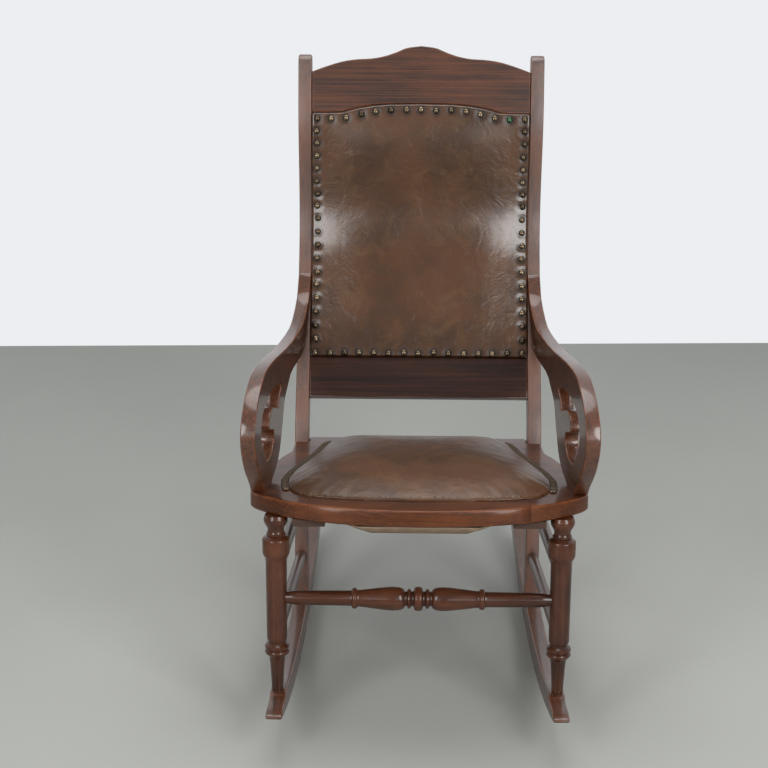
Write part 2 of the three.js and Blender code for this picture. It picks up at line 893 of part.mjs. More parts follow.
const lowRailLean = Math.atan2(
  postAt(lowRailFootZ + lowRailHeight).y - postAt(lowRailFootZ).y,
  lowRailHeight,
);
const lowRailTopZ = lowRailFootZ + lowRailHeight * Math.cos(lowRailLean);
const lowRailFrame = railFrame(lowRailFootZ, lowRailTopZ);
const rectangle = (half, foot, top) => [
  new THREE.Vector2(-half, foot),
  new THREE.Vector2(half, foot),
  new THREE.Vector2(half, top),
  new THREE.Vector2(-half, top),
];
const lowRail = railWithTongue(
  rectangle(railHalf, 0, lowRailHeight),
  rectangle(railHalf, lowRailHeight - 2 * edgeRound, lowRailHeight + tongueReach),
  lowRailFrame,
);
tenoned(lowRail, railTenonEdge, lowRailHeight - railTenonEdge);

// Laths along the posts that the sides of the hide are nailed to
const lathFootZ = lowRailTopZ + tongueReach + lathClear;
const lathTopZ = crestFootZ - tongueReach - lathClear;
const lathSet = hideSet + hideThick + gap;
const lathBackSet = railSet + railThick;
const lathSteps = 16;
const lath = piece(
  sawn(
    new THREE.Shape([
      ...postLine(lathFootZ, lathTopZ, lathSet, lathSteps),
      ...postLine(lathFootZ, lathTopZ, lathBackSet, lathSteps).reverse(),
    ]),
    lathWidth,
    0,
  ),
  uprightFrame(postInnerX - gap - lathWidth / 2),
);

// Back upholstery

const hideFootZ = lowRailTopZ + hideClear;
const backHalf = postInnerX - gap;
// Height of the hide's top edge across the back, just under the crest rail
function hideTopZ(across) {
  const along = Math.abs(across);
  const table = [...crestFootShares, [1, 0]];
  return crestFootZ + crestArch * shareAt(table, along) - hideClear;
}
const borderShare = 0.07; // flat nailed border, of half the width
const sideSwellShare = 0.5;
const endSwellShare = 0.35;
const swell = (inset) => {
  const t = THREE.MathUtils.clamp(inset, 0, 1);
  return 1 - (1 - t) ** 2.4;
};
function backCrownAt(across, up) {
  const side = (1 - Math.abs(across) - borderShare) / sideSwellShare;
  const ends = (Math.min(up, 1 - up) - borderShare / 2) / endSwellShare;
  return backCrown * swell(side) * swell(ends);
}
function backPoint(half, across, up, footZ, topZ, forward) {
  const at = postAt(THREE.MathUtils.lerp(footZ, topZ, up));
  return new THREE.Vector3(
    across * half,
    at.y - at.back.x * forward,
    at.z - at.back.y * forward,
  );
}
const backColumns = 14;
const backRows = 16;
const backHide = piece(
  slabSolid(
    backColumns,
    backRows,
    (u, v) =>
      backPoint(backHalf, u, v, hideFootZ, hideTopZ(u), backCrownAt(u, v) - hideSet),
    (u, v) =>
      backPoint(backHalf, u, v, hideFootZ, hideTopZ(u), backCrownAt(u, v) - hideSet - hideThick),
  ),
);
const stuffHalf = postInnerX - lathWidth - 3 * gap;
const stuffedShare = 0.9;
const backStuffing = piece(
  slabSolid(
    10,
    lathSteps,
    (u, v) => {
      const z = THREE.MathUtils.lerp(lathFootZ, lathTopZ, v);
      const across = (u * stuffHalf) / backHalf;
      const up = (z - hideFootZ) / (hideTopZ(across) - hideFootZ);
      const forward = backCrownAt(across, up) * stuffedShare - hideSet - hideThick - 2 * gap;
      return backPoint(stuffHalf, u, v, lathFootZ, lathTopZ, forward);
    },
    (u, v) => backPoint(stuffHalf, u, v, lathFootZ, lathTopZ, -lathBackSet),
  ),
);

// A line up the back, behind the lower rail, the laths and the crest rail, and set off
// from them to the back
function behindLine(set, footUp, topUp) {
  const behindRail = (frame, up) => {
    const at = new THREE.Vector3(0, up, tongueBack - set).applyMatrix4(frame);
    return new THREE.Vector2(at.y, at.z);
  };
  return [
    behindRail(lowRailFrame, footUp),
    behindRail(lowRailFrame, lowRailHeight + tongueReach),
    ...postLine(lathFootZ, lathTopZ, lathBackSet + set, lathSteps),
    behindRail(crestFrame, 0),
    behindRail(crestFrame, topUp),
  ];
}

// A strip of cloth or webbing up the back
function backStrip(width, thick, set, footUp, topUp, x) {
  const front = behindLine(set, footUp, topUp);
  const back = behindLine(set + thick, footUp, topUp);
  return piece(sawn(new THREE.Shape([...front, ...back.reverse()]), width, 0), uprightFrame(x));
}
const upStrap = (x) =>
  backStrip(
    webWidth,
    webThick,
    gap,
    lowRailHeight - tongueReach,
    crestFootUp + tongueReach,
    x,
  );
const backLining = backStrip(
  2 * (postInnerX - liningMargin),
  clothThick,
  2 * gap + webThick,
  railTenonEdge,
  crestFootUp + crestEndHeight / 2,
  0,
);

// Seat upholstery

const padRise = (share) => padCrown * (1 - share ** 3) ** 0.8;
const seatHide = piece(
  domeSolid(
    padOutline(1),
    padMiddle,
    8,
    (share) => gap + hideThick + padRise(share),
    (share) => gap + padRise(share),
  ),
  seatFrame,
);
const seatStuffing = piece(
  domeSolid(
    padOutline(stuffingShare),
    padMiddle,
    6,
    (share) => padRise(share * stuffingShare) - stuffingClear,
    () => -seatThick,
  ),
  seatFrame,
);
const hessianShare = 0.94;
const seatHessian = piece(
  domeSolid(
    padOutline(hessianShare),
    padMiddle,
    1,
    () => -seatThick - gap,
    () => -seatThick - gap - clothThick,
  ),
  seatFrame,
);

// Interlaced webbing under the seat
const webStep = (webThick + gap) / 2;
const webLevel = -seatThick - 2 * gap - clothThick - webThick / 2 - webStep;
function strapSolid(length, crossings, firstOver) {
  const path = [];
  crossings.forEach((at, order) => {
    const level = (order % 2 === 0) === firstOver ? webStep : -webStep;
    const reach = webWidth / 2 + overrun / 2;
    path.push(new THREE.Vector2(at - reach, level));
    path.push(new THREE.Vector2(at + reach, level));
  });
  path.unshift(new THREE.Vector2(-length / 2, path[0].y));
  path.push(new THREE.Vector2(length / 2, path[path.length - 1].y));
  const moved = (by) => path.map((point) => new THREE.Vector2(point.x, point.y + by));
  const shape = new THREE.Shape([...moved(-webThick / 2), ...moved(webThick / 2).reverse()]);
  return sawn(shape, webWidth, 0);
}
const webPlaces = [-1, 0, 1];
const foreStrapFrame = (x) =>
  seatFrame
    .clone()
    .multiply(new THREE.Matrix4().makeTranslation(x, padMiddle.y, webLevel))
    .multiply(uprightFrame(0));
const crossStrapFrame = (y) =>
  seatFrame
    .clone()
    .multiply(new THREE.Matrix4().makeTranslation(0, y, webLevel))
    .multiply(new THREE.Matrix4().makeRotationX(Math.PI / 2));
const foreStraps = webPlaces.map((place) =>
  piece(
    strapSolid(
      openingBack - openingFront + webWidth,
      webPlaces.map((other) => other * webSpacingY),
      place !== 0,
    ),
    foreStrapFrame(place * webSpacingX),
  ),
);
const crossStrapShares = [0.98, 0.91, 0.78]; // half length, of the pad's half width
const crossStraps = webPlaces.map((place, order) =>
  piece(
    strapSolid(
      2 * padHalfWidth * crossStrapShares[order],
      webPlaces.map((other) => other * webSpacingX),
      place === 0,
    ),
    crossStrapFrame(padMiddle.y + place * webSpacingY),
  ),
);

// Loose cloth that closes the seat from below. Between the glue blocks it comes forward.
const clothLevel = webLevel - webStep - webThick / 2 - gap;
const bellyShape = (share) => clothSag * (1 - share ** 6);
const clothShare = 0.93; // the cloth's outline, of the pad's
const flapShare = 0.8; // the straight part of what comes forward, of the space
const flapHalf = blockInnerX - blockThick;
const clothOutline = padOutline(clothShare).map((point) => {
  const across = Math.abs(point.x);
  const forward = THREE.MathUtils.smoothstep(-across, -flapHalf, -flapHalf * flapShare);
  const front = THREE.MathUtils.lerp(point.y, clothHem, forward);
  return new THREE.Vector2(point.x, point.y < padMiddle.y ? front : point.y);
});
const seatCloth = piece(
  domeSolid(
    clothOutline,
    padMiddle,
    5,
    (share) => clothLevel - bellyShape(share),
    (share) => clothLevel - clothThick - bellyShape(share),
  ),
  seatFrame,
);

// Braid along each side of the pad, on the boards
const braidStart = 9;
function braidSolid() {
  const side = padOutline(1).slice(braidStart, padSteps + 1);
  const outer = side.map((point, order) => {
    const before = side[Math.max(0, order - 1)];
    const after = side[Math.min(side.length - 1, order + 1)];
    const way = new THREE.Vector2().subVectors(after, before).normalize();
    const normal = new THREE.Vector2(way.y, -way.x);
    return {
      near: point.clone().addScaledVector(normal, gap),
      far: point.clone().addScaledVector(normal, gap + braidWidth),
    };
  });
  const shape = new THREE.Shape([
    ...outer.map((pair) => pair.near),
    ...outer.map((pair) => pair.far).reverse(),
  ]);
  return sawn(shape, braidThick, 0).translate([0, 0, gap + braidThick / 2]);
}
const seatBraid = piece(braidSolid(), seatFrame);

// Arm

const armFrontY = seatFrontY + armFront;
const armEndY = postAt(armTopZ).y;
const armFootShare = 0.17;
const armPegShare = 0.19;
const armFootZ = seatTopAt(THREE.MathUtils.lerp(armFrontY, armEndY, armFootShare));
const armReach = armEndY - armFrontY;
const armRise = armTopZ - armFootZ;
const armEdgeShares = [
  [0.993, 1],
  [0.971, 0.92],
  [0.944, 0.838],
  [0.853, 0.733],
  [0.76, 0.697],
  [0.559, 0.69],
  [0.349, 0.718],
  [0.232, 0.722],
  [0.154, 0.704],
  [0.0985, 0.657],
  [0.05, 0.588],
  [0.015, 0.505],
  [0, 0.422],
  [0.005, 0.336],
  [0.028, 0.245],
  [0.062, 0.159],
  [0.117, 0.055],
  [0.145, -0.02],
];
const armUnderShares = [
  [0.233, -0.02],
  [0.267, 0.008],
  [0.326, 0.036],
  [0.377, 0.097],
  [0.411, 0.181],
  [0.441, 0.267],
  [0.472, 0.375],
  [0.531, 0.44],
  [0.604, 0.498],
  [0.76, 0.509],
  [0.876, 0.542],
];
const armEndShares = [
  [0.93, 0.555],
  [1, 0.8],
  [1.03, 0.985],
];
const eyeFrontShares = [
  [0.434, 0.52],
  [0.326, 0.545],
  [0.242, 0.549],
  [0.189, 0.531],
  [0.142, 0.505],
  [0.112, 0.469],
  [0.0985, 0.426],
  [0.0935, 0.375],
  [0.105, 0.3],
  [0.1285, 0.242],
  [0.155, 0.1986],
  [0.1786, 0.17],
  [0.237, 0.166],
  [0.279, 0.202],
  [0.294, 0.238],
  [0.284, 0.296],
];
const tongueShares = [
  [0.284, 0.296],
  [0.217, 0.339],
  [0.219, 0.386],
  [0.234, 0.422],
  [0.2655, 0.448],
  [0.3205, 0.422],
  [0.364, 0.3935],
];
const eyeBackShares = [
  [0.364, 0.3935],
  [0.387, 0.448],
  [0.412, 0.48],
  [0.434, 0.52],
];
const armPoints = (shares) => scaled(shares, armReach, armRise, -armReach, armFootZ);

// An arm is a flat board. It meets the front of the post, and its foot stands clear of the
// braid, so the arms spread towards the front.
const padSides = padShares.map(([across, along]) => [along, across]);
const padHalfAt = (y) =>
  padHalfWidth * shareAt(padSides, (y - seatFrontY - padFront) / (padBack - padFront));
const armHeelY = THREE.MathUtils.lerp(armFrontY, armEndY, armUnderShares[0][0]);
const armHeelX = padHalfAt(armHeelY) + gap + braidWidth + armFootClear + armThick / 2;
const armFlare = Math.atan2(armHeelX - postMiddleX, armEndY - armHeelY);
const armFrame = new THREE.Matrix4()
  .makeTranslation(postMiddleX, armEndY, 0)
  .multiply(new THREE.Matrix4().makeRotationZ(armFlare))
  .multiply(uprightFrame(0));
const armMiddleX = (y) => postMiddleX + (armEndY - y) * Math.tan(armFlare);

function armSolid() {
  const shape = new THREE.Shape([
    ...smooth(armPoints(armEdgeShares), 36),
    ...smooth(armPoints(armUnderShares), 22),
    ...armPoints(armEndShares),
  ]);
  const eye = [
    ...smooth(armPoints(eyeFrontShares), 22).slice(0, -1),
    ...smooth(armPoints(tongueShares), 11).slice(0, -1),
    ...smooth(armPoints(eyeBackShares), 4).slice(0, -1),
  ];
  shape.holes.push(new THREE.Path(eye));
  return sawn(shape, armThick);
}
const arm = piece(armSolid(), armFrame);
carve(arm, piece(sawn(postOutline(gap), 3 * postThick, 0), uprightFrame(postMiddleX)));
carve(arm, seatSpace);

// Peg from the seat up into the foot of the arm
const armPegY = THREE.MathUtils.lerp(armFrontY, armEndY, armPegShare);
const armPegX = armMiddleX(armPegY);
const armPegEnds = [
  new THREE.Vector3(armPegX, armPegY, seatTopAt(armPegY) - armPegDepth),
  new THREE.Vector3(armPegX, armPegY, seatTopAt(armPegY) + armPegDepth),
];
const armPeg = peg(...armPegEnds, armPegRadius);
carve(arm, peg(...armPegEnds, armPegRadius, gap));
carve(sideBoard, peg(...armPegEnds, armPegRadius, gap));

// Screw from the back of the post into the arm
const screwAt = postAt(screwZ);
const screwPoint = (back) =>
  new THREE.Vector3(
    postMiddleX,
    screwAt.y + screwAt.back.x * back,
    screwAt.z + screwAt.back.y * back,
  );
const screwBack = postDepth * shareAt(postDepthShares, (screwZ - postFootZ) / postRise);
const screwLength = screwReach + screwBack - gap;
const screwProfile = [
  [screwRadius, 0],
  [screwRadius, screwLength - screwHead],
  [screwHeadRadius, screwLength],
];
const screwFrame = alongFrame(screwPoint(-screwReach), screwPoint(screwBack));
const armScrew = piece(turning(screwProfile, 0, plainSides), screwFrame);
const screwHole = piece(
  turning([...screwProfile, [screwHeadRadius, screwLength + overrun]], gap, plainSides),
  screwFrame,
);
carve(arm, screwHole);
carve(backPost, screwHole);

// Finishes

const finishes = {
  mahogany: { color: 0x4a2214, roughness: 0.3, metalness: 0 },
  pine: { color: 0xc9a878, roughness: 0.75, metalness: 0 },
  beech: { color: 0x8a6a48, roughness: 0.6, metalness: 0 },
  leather: { color: 0x53351f, roughness: 0.35, metalness: 0 },
  braid: { color: 0x2c2118, roughness: 0.8, metalness: 0 },
  webbing: { color: 0xa48d62, roughness: 0.9, metalness: 0 },
  cloth: { color: 0xb7a887, roughness: 0.9, metalness: 0 },
  hair: { color: 0x3a2d24, roughness: 0.95, metalness: 0 },
  steel: { color: 0x6f6c68, roughness: 0.4, metalness: 0.9 },
};

const chair = new THREE.Group();
// Pieces are made for the sitter's left, at +X. The right side mirrors them.
const leftSide = new THREE.Group();
const rightSide = new THREE.Group();
rightSide.scale.x = -1;
chair.add(leftSide, rightSide);

function addMesh(group, name, part, finish) {
  const mesh = new THREE.Mesh(
    geometryOf(part.solid),
    new THREE.MeshStandardMaterial(finishes[finish]),
  );
  mesh.name = name;
  mesh.applyMatrix4(part.frame);
  group.add(mesh);
}

function addPair(name, part, finish) {
  addMesh(leftSide, `left_${name}`, part, finish);
  addMesh(rightSide, `right_${name}`, part, finish);
}

addPair("runner", runner, "mahogany");
addPair("front_leg", frontLeg, "mahogany");
addPair("back_post", backPost, "mahogany");
addPair("lower_side_stretcher", lowerRung, "mahogany");
addPair("upper_side_stretcher", upperRung, "mahogany");
addPair("seat_side_board", sideBoard, "mahogany");
addPair("front_joint_peg", frontPeg, "beech");
addPair("rear_joint_peg", backPeg, "beech");
addPair("glue_block", glueBlock, "pine");
addPair("arm", arm, "mahogany");
addPair("arm_foot_peg", armPeg, "beech");
addPair("arm_screw", armScrew, "steel");
addPair("back_lath", lath, "beech");
addPair("seat_braid", seatBraid, "braid");

addMesh(chair, "front_stretcher", frontStretcher, "mahogany");
addMesh(chair, "seat_front_board", frontBoard, "mahogany");
addMesh(chair, "seat_back_board", backBoard, "mahogany");
addMesh(chair, "crest_rail", crestRail, "mahogany");
addMesh(chair, "lower_back_rail", lowRail, "mahogany");
addMesh(chair, "back_leather", backHide, "leather");
addMesh(chair, "back_stuffing", backStuffing, "hair");
addMesh(chair, "back_lining", backLining, "cloth");
addMesh(chair, "seat_leather", seatHide, "leather");
addMesh(chair, "seat_stuffing", seatStuffing, "hair");
addMesh(chair, "seat_hessian", seatHessian, "cloth");
addMesh(chair, "seat_bottom_cloth", seatCloth, "cloth");

const strapNames = ["first", "middle", "last"];
webPlaces.forEach((place, order) => {
  addMesh(chair, `back_webbing_${strapNames[order]}`, upStrap(place * backWebSpacing), "webbing");
  addMesh(chair, `seat_long_webbing_${strapNames[order]}`, foreStraps[order], "webbing");
  addMesh(chair, `seat_cross_webbing_${strapNames[order]}`, crossStraps[order], "webbing");
});

// The empty chair settles back on its runners. The origin goes to the middle of the
// chair's space on the floor.
chair.rotation.x = -restLean;
chair.updateMatrixWorld(true);
const space = new THREE.Box3().setFromObject(chair, true);
const middle = space.getCenter(new THREE.Vector3());
chair.position.set(-middle.x, -middle.y, -space.min.z);
const rocker = new THREE.Group();
rocker.add(chair);

export default rocker;
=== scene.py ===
"""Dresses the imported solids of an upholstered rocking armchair.

Boards keep their sawn shapes and get worn, varnished mahogany. Legs and stretchers are turned
again, finely. The seat pad and the back pad are blown up from their covers, and the brass
nails, the braid, the webbing and the cloths are made round them.
"""

import json
import math
import random

import bpy
from bpy.props import (
    FloatProperty,
    FloatVectorProperty,
    IntProperty,
    PointerProperty,
    StringProperty,
)
from mathutils import Matrix, Vector
from mathutils.bvhtree import BVHTree
from mathutils.kdtree import KDTree

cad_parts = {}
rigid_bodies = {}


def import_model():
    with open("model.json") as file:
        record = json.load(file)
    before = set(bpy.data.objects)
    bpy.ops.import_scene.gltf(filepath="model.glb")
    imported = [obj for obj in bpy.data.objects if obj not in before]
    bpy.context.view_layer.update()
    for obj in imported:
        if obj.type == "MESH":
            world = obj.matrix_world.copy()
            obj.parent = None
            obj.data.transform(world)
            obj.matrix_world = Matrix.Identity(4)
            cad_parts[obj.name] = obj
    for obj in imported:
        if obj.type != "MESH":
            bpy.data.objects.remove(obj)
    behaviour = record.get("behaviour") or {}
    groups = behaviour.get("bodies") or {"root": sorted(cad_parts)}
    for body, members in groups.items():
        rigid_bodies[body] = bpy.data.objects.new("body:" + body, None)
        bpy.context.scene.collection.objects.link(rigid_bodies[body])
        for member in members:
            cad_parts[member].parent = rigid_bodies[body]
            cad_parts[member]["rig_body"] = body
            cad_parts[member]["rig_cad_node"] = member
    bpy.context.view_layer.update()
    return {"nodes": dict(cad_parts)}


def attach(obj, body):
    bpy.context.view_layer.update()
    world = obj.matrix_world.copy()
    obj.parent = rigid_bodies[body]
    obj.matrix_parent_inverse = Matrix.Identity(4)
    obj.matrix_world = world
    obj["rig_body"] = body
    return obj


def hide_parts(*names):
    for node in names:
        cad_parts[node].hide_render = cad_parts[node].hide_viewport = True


bl_info = {
    "name": "Rocking armchair",
    "version": (1, 0, 0),
    "blender": (4, 5, 0),
    "location": "3D View > Sidebar > Rocker",
    "description": "Dresses a rocking armchair in varnished mahogany, leather and brass nails",
    "category": "Object",
}

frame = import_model()
NODES = frame["nodes"]

MM = 0.001
SIDES = (("left", 1), ("right", -1))

# The upright frame of the chair: its front legs stand straight up, Y is measured from their
# axes and Z from the floor. The empty chair leans back from it.
LEAN = math.radians(7.8)
SHIFT = Vector((0, -331.85, 38.82)) * MM
UPRIGHT = Matrix.Translation(SHIFT) @ Matrix.Rotation(-LEAN, 4, "X")


# Colours and nodes


def linear(code):
    """The linear colour of an sRGB hex code such as "4a2214"."""
    shares = [int(code[at : at + 2], 16) / 255 for at in (0, 2, 4)]
    return tuple(
        share / 12.92 if share <= 0.04045 else ((share + 0.055) / 1.055) ** 2.4
        for share in shares
    ) + (1,)


def add_node(tree, kind, values=None, links=None, **settings):
    """Adds a node, sets it and its sockets, and links its inputs."""
    made = tree.nodes.new(kind)
    for name, value in settings.items():
        setattr(made, name, value)
    for socket, value in (values or {}).items():
        made.inputs[socket].default_value = value
    for socket, source in (links or {}).items():
        tree.links.new(source, made.inputs[socket])
    return made


def new_material(name):
    """A material with an empty node tree but for its output."""
    material = bpy.data.materials.new(name)
    material.use_nodes = True
    tree = material.node_tree
    tree.nodes.clear()
    tree.nodes.new("ShaderNodeOutputMaterial")
    return material, tree


def finish_material(tree, surface):
    """Joins the shader to the output."""
    tree.links.new(surface, tree.nodes["Material Output"].inputs["Surface"])


def cells_per_metre(along, size_along, size_across):
    """Texture scale for marks that are longer along one axis. The sizes are in mm."""
    return tuple(1000 / (size_along if axis == along else size_across) for axis in "XYZ")


# Materials


def mahogany(
    name, along, heart, streak, worn, gloss=0.36, redden=0.4, body_shine=0.15, coat=0.55
):
    """Old French-polished mahogany: fine dark streaks and open pores along the grain, a warm
    glow where the polish is rubbed off the edges, and a deep clear coat over it."""
    material, tree = new_material(name)
    where = add_node(tree, "ShaderNodeTexCoord").outputs["Object"]
    # The board was sawn upright, before the chair leaned back.
    where = add_node(
        tree, "ShaderNodeMapping", {"Rotation": (LEAN, 0, 0)}, {"Vector": where}
    ).outputs["Vector"]

    def marks(size_along, size_across, detail, roughness, distortion=0.0):
        scaled = add_node(
            tree,
            "ShaderNodeMapping",
            {"Scale": cells_per_metre(along, size_along, size_across)},
            {"Vector": where},
        ).outputs["Vector"]
        return add_node(
            tree,
            "ShaderNodeTexNoise",
            {"Scale": 1, "Detail": detail, "Roughness": roughness, "Distortion": distortion},
            {"Vector": scaled},
        ).outputs[0]

    # Growth streaks are 3 mm wide and run for 260 mm.
    streaks = marks(260, 3.2, 6, 0.7, 0.3)
    streaks = add_node(
        tree,
        "ShaderNodeMapRange",
        {"From Min": 0.37, "From Max": 0.64},
        {"Value": streaks},
        interpolation_type="SMOOTHSTEP",
    ).outputs["Result"]
    body = add_node(
        tree,
        "ShaderNodeMix",
        {6: linear(heart), 7: linear(streak)},
        {0: streaks},
        data_type="RGBA",
    ).outputs[2]
    # Broad clouds of tone, 90 mm across, redden the heart of the board.
    clouds = marks(160, 60, 2, 0.5)
    clouds = add_node(
        tree,
        "ShaderNodeMapRange",
        {"From Min": 0.4, "From Max": 0.7, "To Max": redden},
        {"Value": clouds},
    ).outputs["Result"]
    body = add_node(
        tree,
        "ShaderNodeMix",
        {7: linear(worn)},
        {0: clouds, 6: body},
        data_type="RGBA",
    ).outputs[2]
    # Pores are 0.3 mm wide on mahogany and drawn 1.1 mm wide so that they show.
    pores = marks(18, 1.1, 2, 0.5)
    pores = add_node(
        tree,
        "ShaderNodeMapRange",
        {"From Min": 0.56, "From Max": 0.7},
        {"Value": pores},
    ).outputs["Result"]
    darkened = add_node(
        tree,
        "ShaderNodeMix",
        {7: linear("1a0a06")},
        {
            0: add_node(
                tree, "ShaderNodeMath", {1: 0.55}, {0: pores}, operation="MULTIPLY"
            ).outputs[0],
            6: body,
        },
        data_type="RGBA",
    ).outputs[2]
    # Rubbed edges show the orange wood under the polish, in patches.
    edge = add_node(tree, "ShaderNodeAttribute", attribute_name="rubbed").outputs["Fac"]
    patches = add_node(
        tree,
        "ShaderNodeMapRange",
        {"From Min": 0.35, "From Max": 0.62, "To Min": 0.25},
        {"Value": marks(40, 14, 3, 0.6)},
    ).outputs["Result"]
    rubbed = add_node(
        tree, "ShaderNodeMath", links={0: edge, 1: patches}, operation="MULTIPLY"
    ).outputs[0]
    colour = add_node(
        tree,
        "ShaderNodeMix",
        {7: linear(worn)},
        {0: rubbed, 6: darkened},
        data_type="RGBA",
    ).outputs[2]
    rough = add_node(
        tree,
        "ShaderNodeMapRange",
        {"To Min": gloss, "To Max": gloss + 0.2},
        {"Value": marks(50, 25, 4, 0.6)},
    ).outputs["Result"]
    bump = add_node(
        tree,
        "ShaderNodeBump",
        {"Strength": 0.25, "Distance": 0.0003},
        {"Height": pores},
        invert=True,
    ).outputs["Normal"]
    shader = add_node(
        tree,
        "ShaderNodeBsdfPrincipled",
        {
            "IOR": 1.5,
            "Specular IOR Level": body_shine,
            "Coat Weight": coat,
            "Coat Roughness": 0.12,
            "Coat IOR": 1.5,
        },
        {"Base Color": colour, "Roughness": rough, "Normal": bump},
    ).outputs["BSDF"]
    finish_material(tree, shader)
    return material


def polished_hide(name, hide, dark, bloom, gloss, coat):
    """Glazed upholstery hide: a close pebble grain, long creases where it has been sat on, with
    painted shade in them, and a grey bloom over the brown."""
    material, tree = new_material(name)
    where = add_node(tree, "ShaderNodeTexCoord").outputs["Object"]

    def cloud(size, detail, distortion=0.0):
        return add_node(
            tree,
            "ShaderNodeTexNoise",
            {"Scale": 1000 / size, "Detail": detail, "Roughness": 0.6, "Distortion": distortion},
            {"Vector": where},
        ).outputs[0]

    # Stains and bloom are 120 mm and 45 mm across.
    stain = add_node(
        tree,
        "ShaderNodeMapRange",
        {"From Min": 0.38, "From Max": 0.66},
        {"Value": cloud(120, 4)},
        interpolation_type="SMOOTHSTEP",
    ).outputs["Result"]
    colour = add_node(
        tree,
        "ShaderNodeMix",
        {6: linear(hide), 7: linear(dark)},
        {0: stain},
        data_type="RGBA",
    ).outputs[2]
    worn = add_node(
        tree,
        "ShaderNodeMapRange",
        {"From Min": 0.5, "From Max": 0.75, "To Max": 0.6},
        {"Value": cloud(45, 6, 0.8)},
    ).outputs["Result"]
    colour = add_node(
        tree,
        "ShaderNodeMix",
        {7: linear(bloom)},
        {0: worn, 6: colour},
        data_type="RGBA",
    ).outputs[2]
    # Creases are 35 mm long and fine, as where hide has been bent.
    crease = add_node(
        tree,
        "ShaderNodeTexNoise",
        {"Scale": 1000 / 35, "Detail": 4, "Roughness": 0.5, "Lacunarity": 2.2},
        {"Vector": where},
        noise_type="RIDGED_MULTIFRACTAL",
    ).outputs[0]
    crease = add_node(
        tree,
        "ShaderNodeMapRange",
        {"From Min": 0.55, "From Max": 1.15, "To Min": 1, "To Max": 0},
        {"Value": crease},
        interpolation_type="SMOOTHSTEP",
    ).outputs["Result"]
    # Creases gather where a slow noise is high and where the hide is drawn to its nails.
    gather = add_node(
        tree,
        "ShaderNodeMapRange",
        {"From Min": 0.42, "From Max": 0.6, "To Min": 0.85, "To Max": 0},
        {"Value": cloud(110, 2)},
    ).outputs["Result"]
    drawn = add_node(tree, "ShaderNodeAttribute", attribute_name="drawn").outputs["Fac"]
    slack = add_node(
        tree, "ShaderNodeMath", {0: 1.0}, {1: drawn}, operation="SUBTRACT"
    ).outputs[0]
    gather = add_node(
        tree, "ShaderNodeMath", links={0: gather, 1: slack}, operation="MULTIPLY"
    ).outputs[0]
    crease = add_node(
        tree, "ShaderNodeMath", links={0: crease, 1: gather}, operation="MAXIMUM"
    ).outputs[0]
    # Pebble grain is 0.6 mm on such hide and drawn 1.8 mm wide so that it shows.
    pebble = add_node(
        tree,
        "ShaderNodeTexVoronoi",
        {"Scale": 1000 / 1.8},
        {"Vector": where},
        feature="SMOOTH_F1",
    ).outputs["Distance"]
    folds = add_node(
        tree,
        "ShaderNodeBump",
        {"Strength": 0.7, "Distance": 0.0018},
        {"Height": crease},
    ).outputs["Normal"]
    swells = add_node(
        tree,
        "ShaderNodeBump",
        {"Strength": 0.5, "Distance": 0.004},
        {"Height": cloud(34, 3, 0.8), "Normal": folds},
    ).outputs["Normal"]
    grain = add_node(
        tree,
        "ShaderNodeBump",
        {"Strength": 0.22, "Distance": 0.0003},
        {"Height": pebble, "Normal": swells},
        invert=True,
    ).outputs["Normal"]
    # The crease lines are also painted darker: a painted shade in the creases, over their bump.
    crease_shaded = add_node(
        tree,
        "ShaderNodeMix",
        {6: linear("1f130c")},
        {0: crease, 7: colour},
        data_type="RGBA",
    ).outputs[2]
    colour = add_node(
        tree,
        "ShaderNodeMix",
        {0: 0.3},
        {6: colour, 7: crease_shaded},
        data_type="RGBA",
    ).outputs[2]
    # The leather is darkened round each nail, darkest under its head.
    grime = add_node(tree, "ShaderNodeAttribute", attribute_name="grime").outputs["Fac"]
    colour = add_node(
        tree,
        "ShaderNodeMix",
        {7: linear("1c120c")},
        {0: grime, 6: colour},
        data_type="RGBA",
    ).outputs[2]
    rough = add_node(
        tree,
        "ShaderNodeMapRange",
        {"To Min": gloss - 0.08, "To Max": gloss + 0.14},
        {"Value": cloud(30, 4)},
    ).outputs["Result"]
    shader = add_node(
        tree,
        "ShaderNodeBsdfPrincipled",
        {"IOR": 1.5, "Specular IOR Level": 0.3, "Coat Weight": coat, "Coat Roughness": 0.18},
        {"Base Color": colour, "Roughness": rough, "Normal": grain},
    ).outputs["BSDF"]
    finish_material(tree, shader)
    return material


